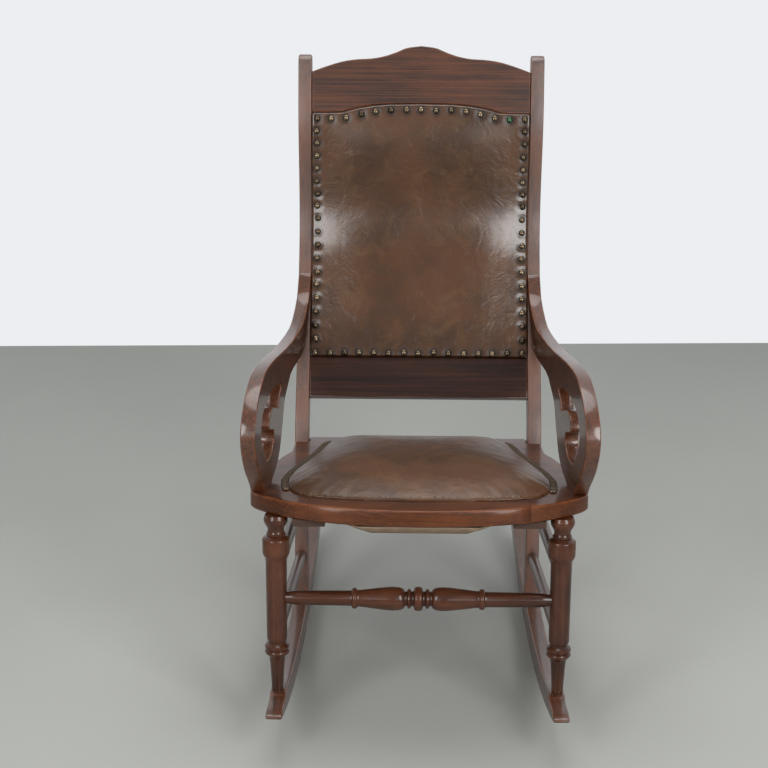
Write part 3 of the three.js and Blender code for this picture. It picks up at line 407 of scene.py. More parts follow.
def aged_brass(name):
    """Stamped brass upholstery nails: browner in tarnish spots and from nail to nail, and green
    where one has corroded."""
    material, tree = new_material(name)
    where = add_node(tree, "ShaderNodeTexCoord").outputs["Object"]
    tone = add_node(tree, "ShaderNodeAttribute", attribute_name="tarnish").outputs["Fac"]
    green = add_node(tree, "ShaderNodeAttribute", attribute_name="verdigris").outputs["Fac"]
    # Tarnish spots are 3 mm across.
    spots = add_node(
        tree,
        "ShaderNodeTexNoise",
        {"Scale": 1000 / 3, "Detail": 3},
        {"Vector": where},
    ).outputs[0]
    brown = add_node(
        tree, "ShaderNodeMath", links={0: tone, 1: spots}, operation="ADD"
    ).outputs[0]
    brown = add_node(
        tree,
        "ShaderNodeMapRange",
        {"From Min": 0.45, "From Max": 1.25},
        {"Value": brown},
    ).outputs["Result"]
    metal = add_node(
        tree,
        "ShaderNodeMix",
        {6: linear("7a6a55"), 7: linear("261d15")},
        {0: brown},
        data_type="RGBA",
    ).outputs[2]
    metal = add_node(
        tree,
        "ShaderNodeMix",
        {7: linear("1f6b4c")},
        {0: green, 6: metal},
        data_type="RGBA",
    ).outputs[2]
    rough = add_node(
        tree,
        "ShaderNodeMapRange",
        {"To Min": 0.22, "To Max": 0.45},
        {"Value": spots},
    ).outputs["Result"]
    shader = add_node(
        tree,
        "ShaderNodeBsdfPrincipled",
        {"Metallic": 0.9},
        {"Base Color": metal, "Roughness": rough},
    ).outputs["BSDF"]
    finish_material(tree, shader)
    return material


def woven(name, warp, weft, pitch, strength=0.6):
    """Plain woven cloth or webbing: two threads that cross, on the piece's own UV map, whose
    unit is one metre. The pitch is the spacing of the threads in mm."""
    material, tree = new_material(name)
    where = add_node(tree, "ShaderNodeTexCoord").outputs["UV"]

    def threads(direction):
        return add_node(
            tree,
            "ShaderNodeTexWave",
            {"Scale": 1000 / pitch / 6.2832 * 3.1416, "Distortion": 0.6, "Detail": 1},
            {"Vector": where},
            bands_direction=direction,
        ).outputs["Fac"]

    across, up = threads("X"), threads("Y")
    cloth = add_node(
        tree, "ShaderNodeMath", links={0: across, 1: up}, operation="MULTIPLY"
    ).outputs[0]
    tone = add_node(
        tree,
        "ShaderNodeTexNoise",
        {"Scale": 1000 / 35, "Detail": 5},
        {"Vector": where},
    ).outputs[0]
    colour = add_node(
        tree,
        "ShaderNodeMix",
        {6: linear(weft), 7: linear(warp)},
        {0: cloth},
        data_type="RGBA",
    ).outputs[2]
    colour = add_node(
        tree,
        "ShaderNodeMix",
        {7: linear(weft)},
        {0: tone, 6: colour},
        data_type="RGBA",
    ).outputs[2]
    bump = add_node(
        tree,
        "ShaderNodeBump",
        {"Strength": strength, "Distance": 0.0005},
        {"Height": cloth},
    ).outputs["Normal"]
    shader = add_node(
        tree,
        "ShaderNodeBsdfPrincipled",
        {"Roughness": 0.9, "Specular IOR Level": 0.2},
        {"Base Color": colour, "Normal": bump},
    ).outputs["BSDF"]
    finish_material(tree, shader)
    return material


def chevron_braid(name, dark, light):
    """Upholstery braid with a woven chevron. The UV map runs in metres along the braid and
    from -1 to 1 across it."""
    material, tree = new_material(name)
    where = add_node(tree, "ShaderNodeTexCoord").outputs["UV"]
    parts = add_node(tree, "ShaderNodeSeparateXYZ", links={0: where})
    fold = add_node(
        tree, "ShaderNodeMath", links={0: parts.outputs["Y"]}, operation="ABSOLUTE"
    ).outputs[0]
    # The threads lean: across half the braid they move 5 mm along it.
    lean = add_node(
        tree, "ShaderNodeMath", {1: 0.005}, {0: fold}, operation="MULTIPLY"
    ).outputs[0]
    along = add_node(
        tree, "ShaderNodeMath", links={0: parts.outputs["X"], 1: lean}, operation="ADD"
    ).outputs[0]
    # A chevron repeats every 9 mm.
    along = add_node(
        tree, "ShaderNodeMath", {1: 2 * math.pi / 0.009}, {0: along}, operation="MULTIPLY"
    ).outputs[0]
    wave = add_node(tree, "ShaderNodeMath", links={0: along}, operation="SINE").outputs[0]
    wave = add_node(
        tree,
        "ShaderNodeMapRange",
        {"From Min": 0.1, "From Max": 0.95},
        {"Value": wave},
    ).outputs["Result"]
    colour = add_node(
        tree,
        "ShaderNodeMix",
        {6: linear(dark), 7: linear(light)},
        {0: wave},
        data_type="RGBA",
    ).outputs[2]
    bump = add_node(
        tree,
        "ShaderNodeBump",
        {"Strength": 0.8, "Distance": 0.0012},
        {"Height": wave},
    ).outputs["Normal"]
    shader = add_node(
        tree,
        "ShaderNodeBsdfPrincipled",
        {"Roughness": 0.85, "Specular IOR Level": 0.1},
        {"Base Color": colour, "Normal": bump},
    ).outputs["BSDF"]
    finish_material(tree, shader)
    return material


def plain_grained(name, light, dark, along, roughness):
    """Bare wood that nobody sees from above: sawn pine blocks and beech pegs, with soft grain
    4 mm wide."""
    material, tree = new_material(name)
    where = add_node(tree, "ShaderNodeTexCoord").outputs["Object"]
    where = add_node(
        tree,
        "ShaderNodeMapping",
        {"Scale": cells_per_metre(along, 80, 4)},
        {"Vector": where},
    ).outputs["Vector"]
    grain = add_node(
        tree,
        "ShaderNodeTexNoise",
        {"Scale": 1, "Detail": 4, "Distortion": 0.5},
        {"Vector": where},
    ).outputs[0]
    colour = add_node(
        tree,
        "ShaderNodeMix",
        {6: linear(light), 7: linear(dark)},
        {0: grain},
        data_type="RGBA",
    ).outputs[2]
    bump = add_node(
        tree, "ShaderNodeBump", {"Strength": 0.3, "Distance": 0.0004}, {"Height": grain}
    ).outputs["Normal"]
    shader = add_node(
        tree,
        "ShaderNodeBsdfPrincipled",
        {"Roughness": roughness},
        {"Base Color": colour, "Normal": bump},
    ).outputs["BSDF"]
    finish_material(tree, shader)
    return material


def dull_steel(name):
    """A plain steel screw: grey, with fine brown specks of rust 1 mm across."""
    material, tree = new_material(name)
    where = add_node(tree, "ShaderNodeTexCoord").outputs["Object"]
    specks = add_node(
        tree,
        "ShaderNodeTexNoise",
        {"Scale": 1000, "Detail": 3},
        {"Vector": where},
    ).outputs[0]
    colour = add_node(
        tree,
        "ShaderNodeMix",
        {6: linear("7c7872"), 7: linear("5a4030")},
        {0: specks},
        data_type="RGBA",
    ).outputs[2]
    shader = add_node(
        tree,
        "ShaderNodeBsdfPrincipled",
        {"Metallic": 0.9, "Roughness": 0.45},
        {"Base Color": colour},
    ).outputs["BSDF"]
    finish_material(tree, shader)
    return material


# Making pieces


def object_mode():
    """Leaves edit mode and deselects everything."""
    if bpy.context.object and bpy.context.object.mode != "OBJECT":
        bpy.ops.object.mode_set(mode="OBJECT")
    bpy.ops.object.select_all(action="DESELECT")


def activate(piece):
    """Makes a piece the only one selected."""
    object_mode()
    piece.select_set(True)
    bpy.context.view_layer.objects.active = piece


def copy_of(node, name):
    """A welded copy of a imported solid, free to be shaped."""
    activate(NODES[node])
    bpy.ops.object.duplicate()
    piece = bpy.context.object
    piece.name = name
    piece.data.name = name
    piece.parent = None
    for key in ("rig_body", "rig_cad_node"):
        if key in piece:
            del piece[key]
    bpy.ops.object.mode_set(mode="EDIT")
    bpy.ops.mesh.select_all(action="SELECT")
    bpy.ops.mesh.remove_doubles(threshold=0.00002)
    bpy.ops.object.mode_set(mode="OBJECT")
    return piece


def apply_place(piece):
    """Moves a piece's place into its mesh."""
    activate(piece)
    bpy.ops.object.transform_apply(location=True, rotation=True, scale=True)


def apply_modifiers(piece):
    """Applies every modifier of a piece, in order."""
    activate(piece)
    for name in [modifier.name for modifier in piece.modifiers]:
        bpy.ops.object.modifier_apply(modifier=name)


def settle(piece, material, slot, *nodes):
    """Gives a piece its material and body, and hides the solids that it stands for. The
    slot is not used.
    """
    piece.data.materials.clear()
    piece.data.materials.append(material)
    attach(piece, "root")
    if nodes:
        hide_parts(*nodes)
    return piece


def shade(piece, degrees):
    """Smooth shading that keeps the edges sharper than an angle."""
    activate(piece)
    bpy.ops.object.shade_smooth_by_angle(angle=math.radians(degrees))


def set_attribute(piece, name, domain, values):
    """Writes one number per point or face for a material to read."""
    layer = piece.data.attributes.new(name, "FLOAT", domain)
    layer.data.foreach_set("value", values)


def drop_faces(piece, unwanted):
    """Deletes the faces that a test picks out."""
    activate(piece)
    bpy.ops.object.mode_set(mode="EDIT")
    bpy.ops.mesh.select_mode(type="FACE")
    bpy.ops.mesh.select_all(action="DESELECT")
    bpy.ops.object.mode_set(mode="OBJECT")
    for polygon in piece.data.polygons:
        polygon.select = unwanted(polygon)
    bpy.ops.object.mode_set(mode="EDIT")
    bpy.ops.mesh.delete(type="FACE")
    bpy.ops.object.mode_set(mode="OBJECT")


# Boards


def dressed_board(node, material):
    """A sawn board: its copy keeps the outline, its flats stay flat, its rounded edges shade
    round, and its edges are marked as rubbed."""
    piece = copy_of(node, node + "_polished")
    bpy.ops.object.mode_set(mode="EDIT")
    bpy.ops.mesh.select_all(action="SELECT")
    bpy.ops.mesh.dissolve_limited(angle_limit=math.radians(0.4))
    bpy.ops.object.mode_set(mode="OBJECT")
    mesh = piece.data
    widest = max(mesh.polygons, key=lambda polygon: polygon.area).normal.copy()
    rubbed = []
    for polygon in mesh.polygons:
        across = abs(polygon.normal.dot(widest))
        rounded = 0.25 < across < 0.97
        rubbed.append(0.7 if rounded else (0.2 if across <= 0.25 else 0.0))
    set_attribute(piece, "rubbed", "FACE", rubbed)
    shade(piece, 50)
    weighted = piece.modifiers.new("Flats", "WEIGHTED_NORMAL")
    weighted.keep_sharp = True
    apply_modifiers(piece)
    return settle(piece, material, "mahogany", node)


def turned(name, profile, sides, material, place, *nodes):
    """A turning: a ring is drawn up its axis by extrusion and resized at each step of the
    profile, which is (place on the axis, radius) in mm."""
    object_mode()
    start, radius = profile[0]
    bpy.ops.mesh.primitive_circle_add(
        vertices=sides, radius=radius * MM, location=(0, 0, 0), fill_type="NGON"
    )
    piece = bpy.context.object
    piece.name = name
    piece.data.name = name
    bpy.ops.object.mode_set(mode="EDIT")
    bpy.ops.mesh.select_all(action="SELECT")
    for (low, inner), (high, outer) in zip(profile, profile[1:]):
        bpy.ops.mesh.extrude_region_move(
            TRANSFORM_OT_translate={"value": (0, 0, (high - low) * MM)}
        )
        share = outer / inner
        bpy.ops.transform.resize(
            value=(share, share, 1), center_override=(0, 0, (high - start) * MM)
        )
    bpy.ops.mesh.select_all(action="SELECT")
    bpy.ops.mesh.normals_make_consistent(inside=False)
    bpy.ops.object.mode_set(mode="OBJECT")
    widest = max(radius for _, radius in profile)
    worn = []
    for vertex in piece.data.vertices:
        radius = math.hypot(vertex.co.x, vertex.co.y) / MM
        worn.append(min(0.6, max(0.0, (radius / widest - 0.45) * 1.1)))
    set_attribute(piece, "rubbed", "POINT", worn)
    shade(piece, 38)
    piece.matrix_world = place @ Matrix.Translation((0, 0, start * MM))
    apply_place(piece)
    return settle(piece, material, "mahogany", *nodes)


def axis_place(start, end):
    """The place of a turning that runs from one point to another, in upright mm."""
    start, end = Vector(start) * MM, Vector(end) * MM
    turn = (end - start).to_track_quat("Z", "Y").to_matrix().to_4x4()
    return UPRIGHT @ Matrix.Translation(start) @ turn


# (height, radius) of a front leg in mm, from the runner to the seat
LEG_PROFILE = (
    (50.8, 9.8), (60, 9.9), (72, 10.5), (85, 11.2), (97, 12), (107, 13.2), (110, 14.2),
    (112.5, 16.4), (114, 18.4), (116, 20.1), (118, 20.5), (120, 20), (121.4, 18.6),
    (122.2, 17.6), (123.4, 18.8), (125.5, 20.3), (128, 20.5), (130, 19), (131.4, 16.6),
    (133, 14.9), (135, 14.6), (137, 15.4), (139, 16.4), (142, 16.9), (150, 17), (180, 17.1),
    (220, 17.2), (250, 17.3), (277.5, 17.5), (280.5, 17.9), (283.5, 19), (286.4, 20.8),
    (289.4, 22.1), (292.4, 22.5), (303.3, 22.6), (314.3, 22.5), (315.8, 22), (316.8, 20.4),
    (318.2, 16.6), (319.7, 14.8), (321.2, 15), (322.4, 15.9), (323.8, 15.9), (325.2, 14.8),
    (327.2, 13.8), (329.7, 13.5), (332.2, 13.8), (335.1, 14.8), (338.1, 16.4), (341.1, 18.2),
    (344.1, 19.4), (347.6, 19.9), (350.5, 19.6), (353, 18.8), (355, 17.9), (356, 17.5),
)

# (distance from the middle, radius) of the front stretcher in mm, as far as a leg
STRETCHER_PROFILE = (
    (0, 20.1), (3, 20), (5, 19.4), (6.4, 17.8), (7.2, 14.8), (8, 12.8), (9.6, 12.1),
    (11.2, 12.4), (12.2, 14.4), (13.2, 16), (15, 16.7), (16.8, 16), (17.8, 14.2),
    (18.8, 12.4), (20.4, 12), (22, 12.6), (23, 14.4), (25, 16.8), (28, 18.2), (33, 19.3),
    (41, 19.8), (50, 19.4), (60, 18.4), (70, 17.2), (80, 16), (88, 14.9), (94, 14.2),
    (99, 14), (100.4, 15), (101.6, 16.6), (103.2, 17.3), (106, 17.3), (107.6, 16.6),
    (108.8, 15), (109.6, 13.4), (112, 12.8), (150, 12.4), (185, 12.1), (200, 11.8),
    (208, 10.9), (216, 9.4), (222, 8.6),
)
LEG_X = 233


class RockerSizes(bpy.types.PropertyGroup):
    """Sizes of the turned and nailed parts."""

    turned_sides: IntProperty(
        name="Turned sides", description="Flats round a turned piece", default=40, min=12
    )
    nail_diameter: FloatProperty(
        name="Nail diameter",
        description="Width of a brass nail's dome",
        default=0.012,
        unit="LENGTH",
    )
    nail_inset: FloatProperty(
        name="Nail inset",
        description="From the edge of the back leather to the middle of a nail",
        default=0.0095,
        unit="LENGTH",
    )
    top_nails: IntProperty(name="Top nails", description="Nails under the crest", default=15)
    bottom_nails: IntProperty(
        name="Bottom nails", description="Nails over the lower rail", default=15
    )
    side_nails: IntProperty(
        name="Side nails", description="Nails up each side between the corners", default=17
    )
    tacks: IntProperty(
        name="Tacks", description="Small tacks along the front of the seat leather", default=29
    )
    tack_diameter: FloatProperty(
        name="Tack diameter",
        description="Width of a tack's head",
        default=0.0036,
        unit="LENGTH",
    )


class RockerColours(bpy.types.PropertyGroup):
    """Colours of the finishes, as sRGB hex codes."""

    heart: StringProperty(name="Heart", description="Darkest mahogany", default="1b0b06")
    streak: StringProperty(name="Streak", description="Streaks in it", default="512a13")
    worn: StringProperty(name="Worn", description="Where polish is rubbed off", default="733f1f")
    hide: StringProperty(name="Hide", description="Brown of the leather", default="4d311d")
    hide_dark: StringProperty(name="Dark hide", description="Stained leather", default="3a2413")
    bloom: StringProperty(name="Bloom", description="Grey bloom on the leather", default="5f4226")
    floor: StringProperty(name="Floor", description="Colour of the floor", default="a1a29d")
    wall: StringProperty(name="Wall", description="Colour of the room behind", default="eceef1")


class RockerPadding(bpy.types.PropertyGroup):
    """How the two pads are blown up from their covers."""

    voxel: FloatProperty(
        name="Voxel", description="Size of the remesh", default=0.005, unit="LENGTH"
    )
    pressure: FloatProperty(name="Pressure", description="Air in the pad", default=4.0)
    seat_rise: FloatProperty(
        name="Seat rise",
        description="How far the seat pad may swell",
        default=0.007,
        unit="LENGTH",
    )
    back_rise: FloatProperty(
        name="Back rise",
        description="How far the back pad may swell",
        default=0.005,
        unit="LENGTH",
    )


class RockerStage(bpy.types.PropertyGroup):
    """Floor, room, lamps and camera."""

    floor_size: FloatProperty(
        name="Floor size", description="Width of the floor", default=7.0, unit="LENGTH"
    )
    floor_end: FloatProperty(
        name="Floor end",
        description="From the middle of the chair to the end of the floor behind it",
        default=1.57,
        unit="LENGTH",
    )
    floor_turn: FloatProperty(
        name="Floor turn",
        description="How the end of the floor stands to the chair",
        default=math.radians(2.1),
        subtype="ANGLE",
    )
    camera_place: FloatVectorProperty(
        name="Camera place",
        description="Where the photograph was taken from",
        default=(-0.023, -2.61511, 1.55273),
        subtype="TRANSLATION",
    )
    camera_turn: FloatVectorProperty(
        name="Camera turn",
        description="How the camera was turned",
        default=tuple(math.radians(angle) for angle in (68.214, -0.186, 0.93)),
        subtype="EULER",
    )
    lens: FloatProperty(
        name="Lens", description="Focal length in mm on a 36 mm sensor", default=75.0
    )


def board_materials(colours):
    """The mahogany of each way that the grain runs, and of darker or redder boards."""
    base = (colours.heart, colours.streak, colours.worn)
    return {
        "up": mahogany(
            "French polished mahogany, upright grain",
            "Z",
            *base,
            gloss=0.4,
            redden=0.5,
            body_shine=1.0,
            coat=0.3,
        ),
        "fore": mahogany(
            "French polished mahogany, fore and aft grain",
            "Y",
            *base,
            redden=0.15,
            body_shine=0.4,
            coat=0.7,
        ),
        "across": mahogany(
            "French polished mahogany, cross grain",
            "X",
            *base,
            gloss=0.36,
            redden=0.3,
            body_shine=0.35,
            coat=0.35,
        ),
        "dark": mahogany(
            "French polished mahogany, dark rail",
            "X",
            "180c0a",
            "361c12",
            "502c1a",
            redden=0.2,
        ),
        "seat": mahogany(
            "French polished mahogany, seat boards",
            "X",
            "211009",
            "4a2714",
            colours.worn,
            redden=0.45,
            coat=0.3,
        ),
    }


def material_named(name):
    """A material made earlier by this add-on."""
    return bpy.data.materials[name]


class ROCKER_OT_boards(bpy.types.Operator):
    """Dress the runners, posts, arms, rails and seat boards"""

    bl_idname = "rocker.boards"
    bl_label = "Boards"

    def execute(self, context):
        wood = board_materials(context.scene.rocker_colours)
        for side, _ in SIDES:
            dressed_board(f"{side}_back_post", wood["up"])
            dressed_board(f"{side}_arm", wood["fore"])
            dressed_board(f"{side}_runner", wood["fore"])
            dressed_board(f"{side}_seat_side_board", wood["seat"])
        dressed_board("seat_front_board", wood["seat"])
        dressed_board("seat_back_board", wood["seat"])
        dressed_board("crest_rail", wood["across"])
        dressed_board("lower_back_rail", wood["dark"])
        return {"FINISHED"}


class ROCKER_OT_turnings(bpy.types.Operator):
    """Turn the front legs and the stretchers"""

    bl_idname = "rocker.turnings"
    bl_label = "Turnings"

    def execute(self, context):
        sides = context.scene.rocker_sizes.turned_sides
        colours = context.scene.rocker_colours
        legs = mahogany(
            "French polished mahogany, turned legs",
            "Z",
            colours.heart,
            "32180c",
            "5c321c",
            redden=0.5,
        )
        rungs = mahogany(
            "French polished mahogany, side stretchers",
            "Y",
            colours.heart,
            "32180c",
            "55301c",
        )
        front = mahogany(
            "French polished mahogany, front stretcher",
            "X",
            colours.heart,
            "32180c",
            "5c321c",
            redden=0.5,
        )
        for side, sign in SIDES:
            place = UPRIGHT @ Matrix.Translation((sign * LEG_X * MM, 0, 0))
            turned(
                f"{side}_front_leg_turned", LEG_PROFILE, sides, legs, place, f"{side}_front_leg"
            )
            for level in ("lower", "upper"):
                node = f"{side}_{level}_side_stretcher"
                self.side_stretcher(node, sides, rungs)
        half = STRETCHER_PROFILE
        profile = tuple((-at, radius) for at, radius in reversed(half[1:])) + half
        turned(
            "front_stretcher_turned",
            profile,
            sides,
            front,
            axis_place((0, 0, 212), (1, 0, 212)),
            "front_stretcher",
        )
        return {"FINISHED"}

    def side_stretcher(self, node, sides, material):
        """A plain dowel along the solid that it stands for, thinner where it is driven in."""
        mesh = NODES[node].data
        upright = UPRIGHT.inverted()
        points = [upright @ vertex.co / MM for vertex in mesh.vertices]
        near = min(point.y for point in points)
        far = max(point.y for point in points)
        ends = []
        for level in (near, far):
            ring = [point for point in points if abs(point.y - level) < 3]
            ends.append(sum(ring, Vector()) / len(ring))
        length = (ends[1] - ends[0]).length
        shoulder = 20
        profile = (
            (0, 6), (8, 6.4), (12, 8), (16, 9.2), (shoulder, 9.8), (length / 4, 10),
            (length / 2, 10.3), (length * 3 / 4, 10), (length - shoulder, 9.8),
            (length - 16, 9), (length - 12, 7.6), (length - 8, 6.4), (length, 6),
        )
        turned(
            node + "_turned", profile, sides, material, axis_place(ends[0], ends[1]), node
        )


# Pads


def surface_finder(piece):
    """Finds where a line meets a piece: the point and the normal, or nothing."""
    tree = BVHTree.FromPolygons(
        [vertex.co for vertex in piece.data.vertices],
        [tuple(polygon.vertices) for polygon in piece.data.polygons],
    )

    def find(origin, way):
        hit, normal, _, _ = tree.ray_cast(origin, way)
        return None if hit is None else (hit, normal)

    return find


def swollen(piece, pinned, pressure, most):
    """Blows a closed cover up with air, holds its pinned points, and caps how far the rest
    may move."""
    start = [vertex.co.copy() for vertex in piece.data.vertices]
    group = piece.vertex_groups.new(name="pinned")
    group.add([vertex.index for vertex in piece.data.vertices if pinned(vertex)], 1.0, "ADD")
    cloth = piece.modifiers.new("Cloth", "CLOTH")
    settings = cloth.settings
    settings.quality = 6
    settings.mass = 0.4
    settings.tension_stiffness = 20
    settings.compression_stiffness = 20
    settings.bending_stiffness = 2
    settings.use_pressure = True
    settings.uniform_pressure_force = pressure
    settings.vertex_group_mass = "pinned"
    settings.effector_weights.gravity = 0
    cloth.point_cache.frame_start = 1
    cloth.point_cache.frame_end = 20
    scene = bpy.context.scene
    for step in range(1, 21):
        scene.frame_set(step)
    apply_modifiers(piece)
    scene.frame_set(1)
    for vertex, was in zip(piece.data.vertices, start):
        move = vertex.co - was
        if move.length > most:
            vertex.co = was + move.normalized() * most
    piece.vertex_groups.clear()


def remeshed(piece, voxel):
    """Remeshes a closed cover evenly."""
    remesh = piece.modifiers.new("Even", "REMESH")
    remesh.mode = "VOXEL"
    remesh.voxel_size = voxel
    apply_modifiers(piece)


def smoothed(piece, steps, levels):
    """Takes the remesh's steps out of a cover and subdivides it."""
    if steps:
        relax = piece.modifiers.new("Relax", "SMOOTH")
        relax.factor = 0.5
        relax.iterations = steps
    if levels:
        finer = piece.modifiers.new("Finer", "SUBSURF")
        finer.levels = levels
        finer.render_levels = levels
    apply_modifiers(piece)
    activate(piece)
    bpy.ops.object.shade_smooth()


SEAT_NORMAL = (UPRIGHT.to_3x3() @ Vector((0, math.sin(math.radians(3.2)), 0.99844))).normalized()


class ROCKER_OT_seat_pad(bpy.types.Operator):
    """Blow up the leather seat pad"""

    bl_idname = "rocker.seat_pad"
    bl_label = "Seat pad"

    def execute(self, context):
        colours = context.scene.rocker_colours
        padding = context.scene.rocker_padding
        piece = copy_of("seat_leather", "seat_pad")
        level = min(vertex.co.dot(SEAT_NORMAL) for vertex in piece.data.vertices)
        drop_faces(piece, lambda polygon: polygon.normal.dot(SEAT_NORMAL) < -0.05)
        bpy.ops.object.mode_set(mode="EDIT")
        bpy.ops.mesh.select_mode(type="EDGE")
        bpy.ops.mesh.select_all(action="DESELECT")
        bpy.ops.mesh.select_non_manifold()
        bpy.ops.mesh.edge_face_add()
        bpy.ops.mesh.select_all(action="SELECT")
        bpy.ops.mesh.normals_make_consistent(inside=False)
        bpy.ops.object.mode_set(mode="OBJECT")
        # The pad swells later, so it starts lower, and its foot goes down to the boards.
        lower = 0.94
        for vertex in piece.data.vertices:
            height = vertex.co.dot(SEAT_NORMAL) - level
            vertex.co += SEAT_NORMAL * (height * (lower - 1))
            if height < 0.0005:
                vertex.co -= SEAT_NORMAL * 0.003
        remeshed(piece, padding.voxel)
        swollen(
            piece,
            lambda vertex: vertex.co.dot(SEAT_NORMAL) - level < 0.006,
            padding.pressure,
            padding.seat_rise,
        )
        smoothed(piece, 12, 1)
        self.spread(piece, level)
        hide = polished_hide(
            "Glazed cow hide, seat", colours.hide, colours.hide_dark, colours.bloom, 0.4, 0.12
        )
        settle(piece, hide, "leather", "seat_leather", "seat_stuffing")
        return {"FINISHED"}

    def spread(self, piece, level):
        """Smoothing draws the rim in, so it goes back out to where the solid's rim is."""
        solid = NODES["seat_leather"]
        along_x = Vector((1, 0, 0))
        along_y = SEAT_NORMAL.cross(along_x)
        points = [vertex.co for vertex in solid.data.vertices]
        rows = [point.dot(along_y) for point in points]
        middle = along_y * ((min(rows) + max(rows)) / 2)
        wanted, found = surface_finder(solid), surface_finder(piece)
        turns = 180
        shares = []
        for order in range(turns):
            angle = 2 * math.pi * order / turns
            way = along_x * math.cos(angle) + along_y * math.sin(angle)
            reach = []
            for find in (wanted, found):
                hit = find(middle + SEAT_NORMAL * (level + 0.0015) + way * 0.4, -way)
                reach.append((hit[0] - middle).dot(way))
            shares.append((reach[0] - 0.0003) / reach[1])
        for vertex in piece.data.vertices:
            x = vertex.co.dot(along_x)
            y = (vertex.co - middle).dot(along_y)
            place = (math.atan2(y, x) / (2 * math.pi) % 1) * turns
            low = int(place)
            share = place - low
            grow = shares[low % turns] * (1 - share) + shares[(low + 1) % turns] * share
            vertex.co += (along_x * x + along_y * y) * (grow - 1)


def upright_point(vector):
    """A point of the leaning chair, in upright mm."""
    return (UPRIGHT.inverted() @ vector) / MM


class ROCKER_OT_back_pad(bpy.types.Operator):
    """Blow up the leather back pad inside its flat nailed border"""

    bl_idname = "rocker.back_pad"
    bl_label = "Back pad"

    def execute(self, context):
        colours = context.scene.rocker_colours
        padding = context.scene.rocker_padding
        piece = self.skin()
        shell = piece.modifiers.new("Depth", "SOLIDIFY")
        shell.thickness = 0.009
        shell.offset = -1
        apply_modifiers(piece)
        behind = len(piece.data.vertices) // 2
        edge = 0.016

        def held(vertex):
            inside = min(abs(share) for share in self.margins[vertex.index % behind])
            return inside < edge or vertex.index >= behind

        swollen(piece, held, padding.pressure, padding.back_rise)
        drawn = []
        for order in range(len(piece.data.vertices)):
            side, low, high = self.margins[order % behind]
            drawn.append(max(0.0, 1 - min(abs(side), abs(low), abs(high)) / 0.065))
        set_attribute(piece, "drawn", "POINT", drawn)
        smoothed(piece, 0, 1)
        hide = polished_hide(
            "Glazed cow hide, back", colours.hide, colours.hide_dark, colours.bloom, 0.3, 0.7
        )
        settle(piece, hide, "leather", "back_leather", "back_stuffing")
        return {"FINISHED"}

    def skin(self):
        """A fine grid laid on the front of the back leather's solid, as far as its edges."""
        find = surface_finder(NODES["back_leather"])
        forward = (UPRIGHT.to_3x3() @ Vector((0, 1, 0))).normalized()
        points = [upright_point(vertex.co) for vertex in NODES["back_leather"].data.vertices]
        half = max(point.x for point in points) - 0.02
        foot = min(point.z for point in points)
        head = max(point.z for point in points)

        def hit(x, z):
            return find(UPRIGHT @ (Vector((x, 200, z)) * MM), forward)

        def limit(x, inside, outside):
            """The height between two at which the leather ends."""
            for _ in range(14):
                middle = (inside + outside) / 2
                inside, outside = (middle, outside) if hit(x, middle) else (inside, middle)
            return inside

        columns, rows = 84, 90
        object_mode()
        bpy.ops.mesh.primitive_grid_add(
            x_subdivisions=columns, y_subdivisions=rows, size=1, location=(0, 0, 0)
        )
        piece = bpy.context.object
        piece.name = "back_pad"
        piece.data.name = "back_pad"
        middle = (foot + head) / 2
        ends = {}
        self.margins = []
        for vertex in piece.data.vertices:
            x = vertex.co.x * 2 * half
            key = round(x, 3)
            if key not in ends:
                ends[key] = (limit(x, middle, foot - 5), limit(x, middle, head + 5))
            low, high = ends[key]
            z = low + (high - low) * (vertex.co.y + 0.5)
            self.margins.append(((half - abs(x)) * MM, (z - low) * MM, (high - z) * MM))
            vertex.co = hit(x, z)[0]
        self.ease(piece, columns + 1, rows + 1)
        activate(piece)
        bpy.ops.object.mode_set(mode="EDIT")
        bpy.ops.mesh.select_all(action="SELECT")
        bpy.ops.mesh.normals_make_consistent(inside=False)
        if piece.data.polygons[0].normal.y > 0:
            bpy.ops.mesh.flip_normals()
        bpy.ops.object.mode_set(mode="OBJECT")
        return piece

    def ease(self, piece, wide, tall):
        """Takes the flats of the solid out of the grid: each depth is drawn to its
        neighbours' again and again, and the edges stay."""
        points = [upright_point(vertex.co) for vertex in piece.data.vertices]
        inside = [
            row * wide + column for row in range(1, tall - 1) for column in range(1, wide - 1)
        ]
        depth = [point.y for point in points]
        for _ in range(70):
            eased = list(depth)
            for at in inside:
                around = depth[at - 1] + depth[at + 1] + depth[at - wide] + depth[at + wide]
                eased[at] = (2 * depth[at] + around) / 6
            depth = eased
        for vertex, point, level in zip(piece.data.vertices, points, depth):
            vertex.co = UPRIGHT @ (Vector((point.x, level, point.z)) * MM)


# Nails, tacks and braid


def nail_head(name, diameter, height):
    """One domed head: the top of a ball, pressed flat, with a rolled rim."""
    object_mode()
    bpy.ops.mesh.primitive_uv_sphere_add(
        segments=16, ring_count=10, radius=diameter / 2, location=(0, 0, 0)
    )
    head = bpy.context.object
    head.name = name
    bpy.ops.object.mode_set(mode="EDIT")
    bpy.ops.mesh.select_all(action="SELECT")
    bpy.ops.mesh.bisect(
        plane_co=(0, 0, -diameter * 0.04), plane_no=(0, 0, 1), use_fill=True, clear_inner=True
    )
    bpy.ops.mesh.select_all(action="SELECT")
    bpy.ops.transform.resize(value=(1, 1, height / (diameter / 2)), center_override=(0, 0, 0))
    bpy.ops.object.mode_set(mode="OBJECT")
    shade(head, 50)
    return head


def joined(pieces, name):
    """Joins copies into one piece."""
    object_mode()
    for piece in pieces:
        piece.select_set(True)
    bpy.context.view_layer.objects.active = pieces[0]
    bpy.ops.object.join()
    made = bpy.context.object
    made.name = name
    made.data.name = name
    return made


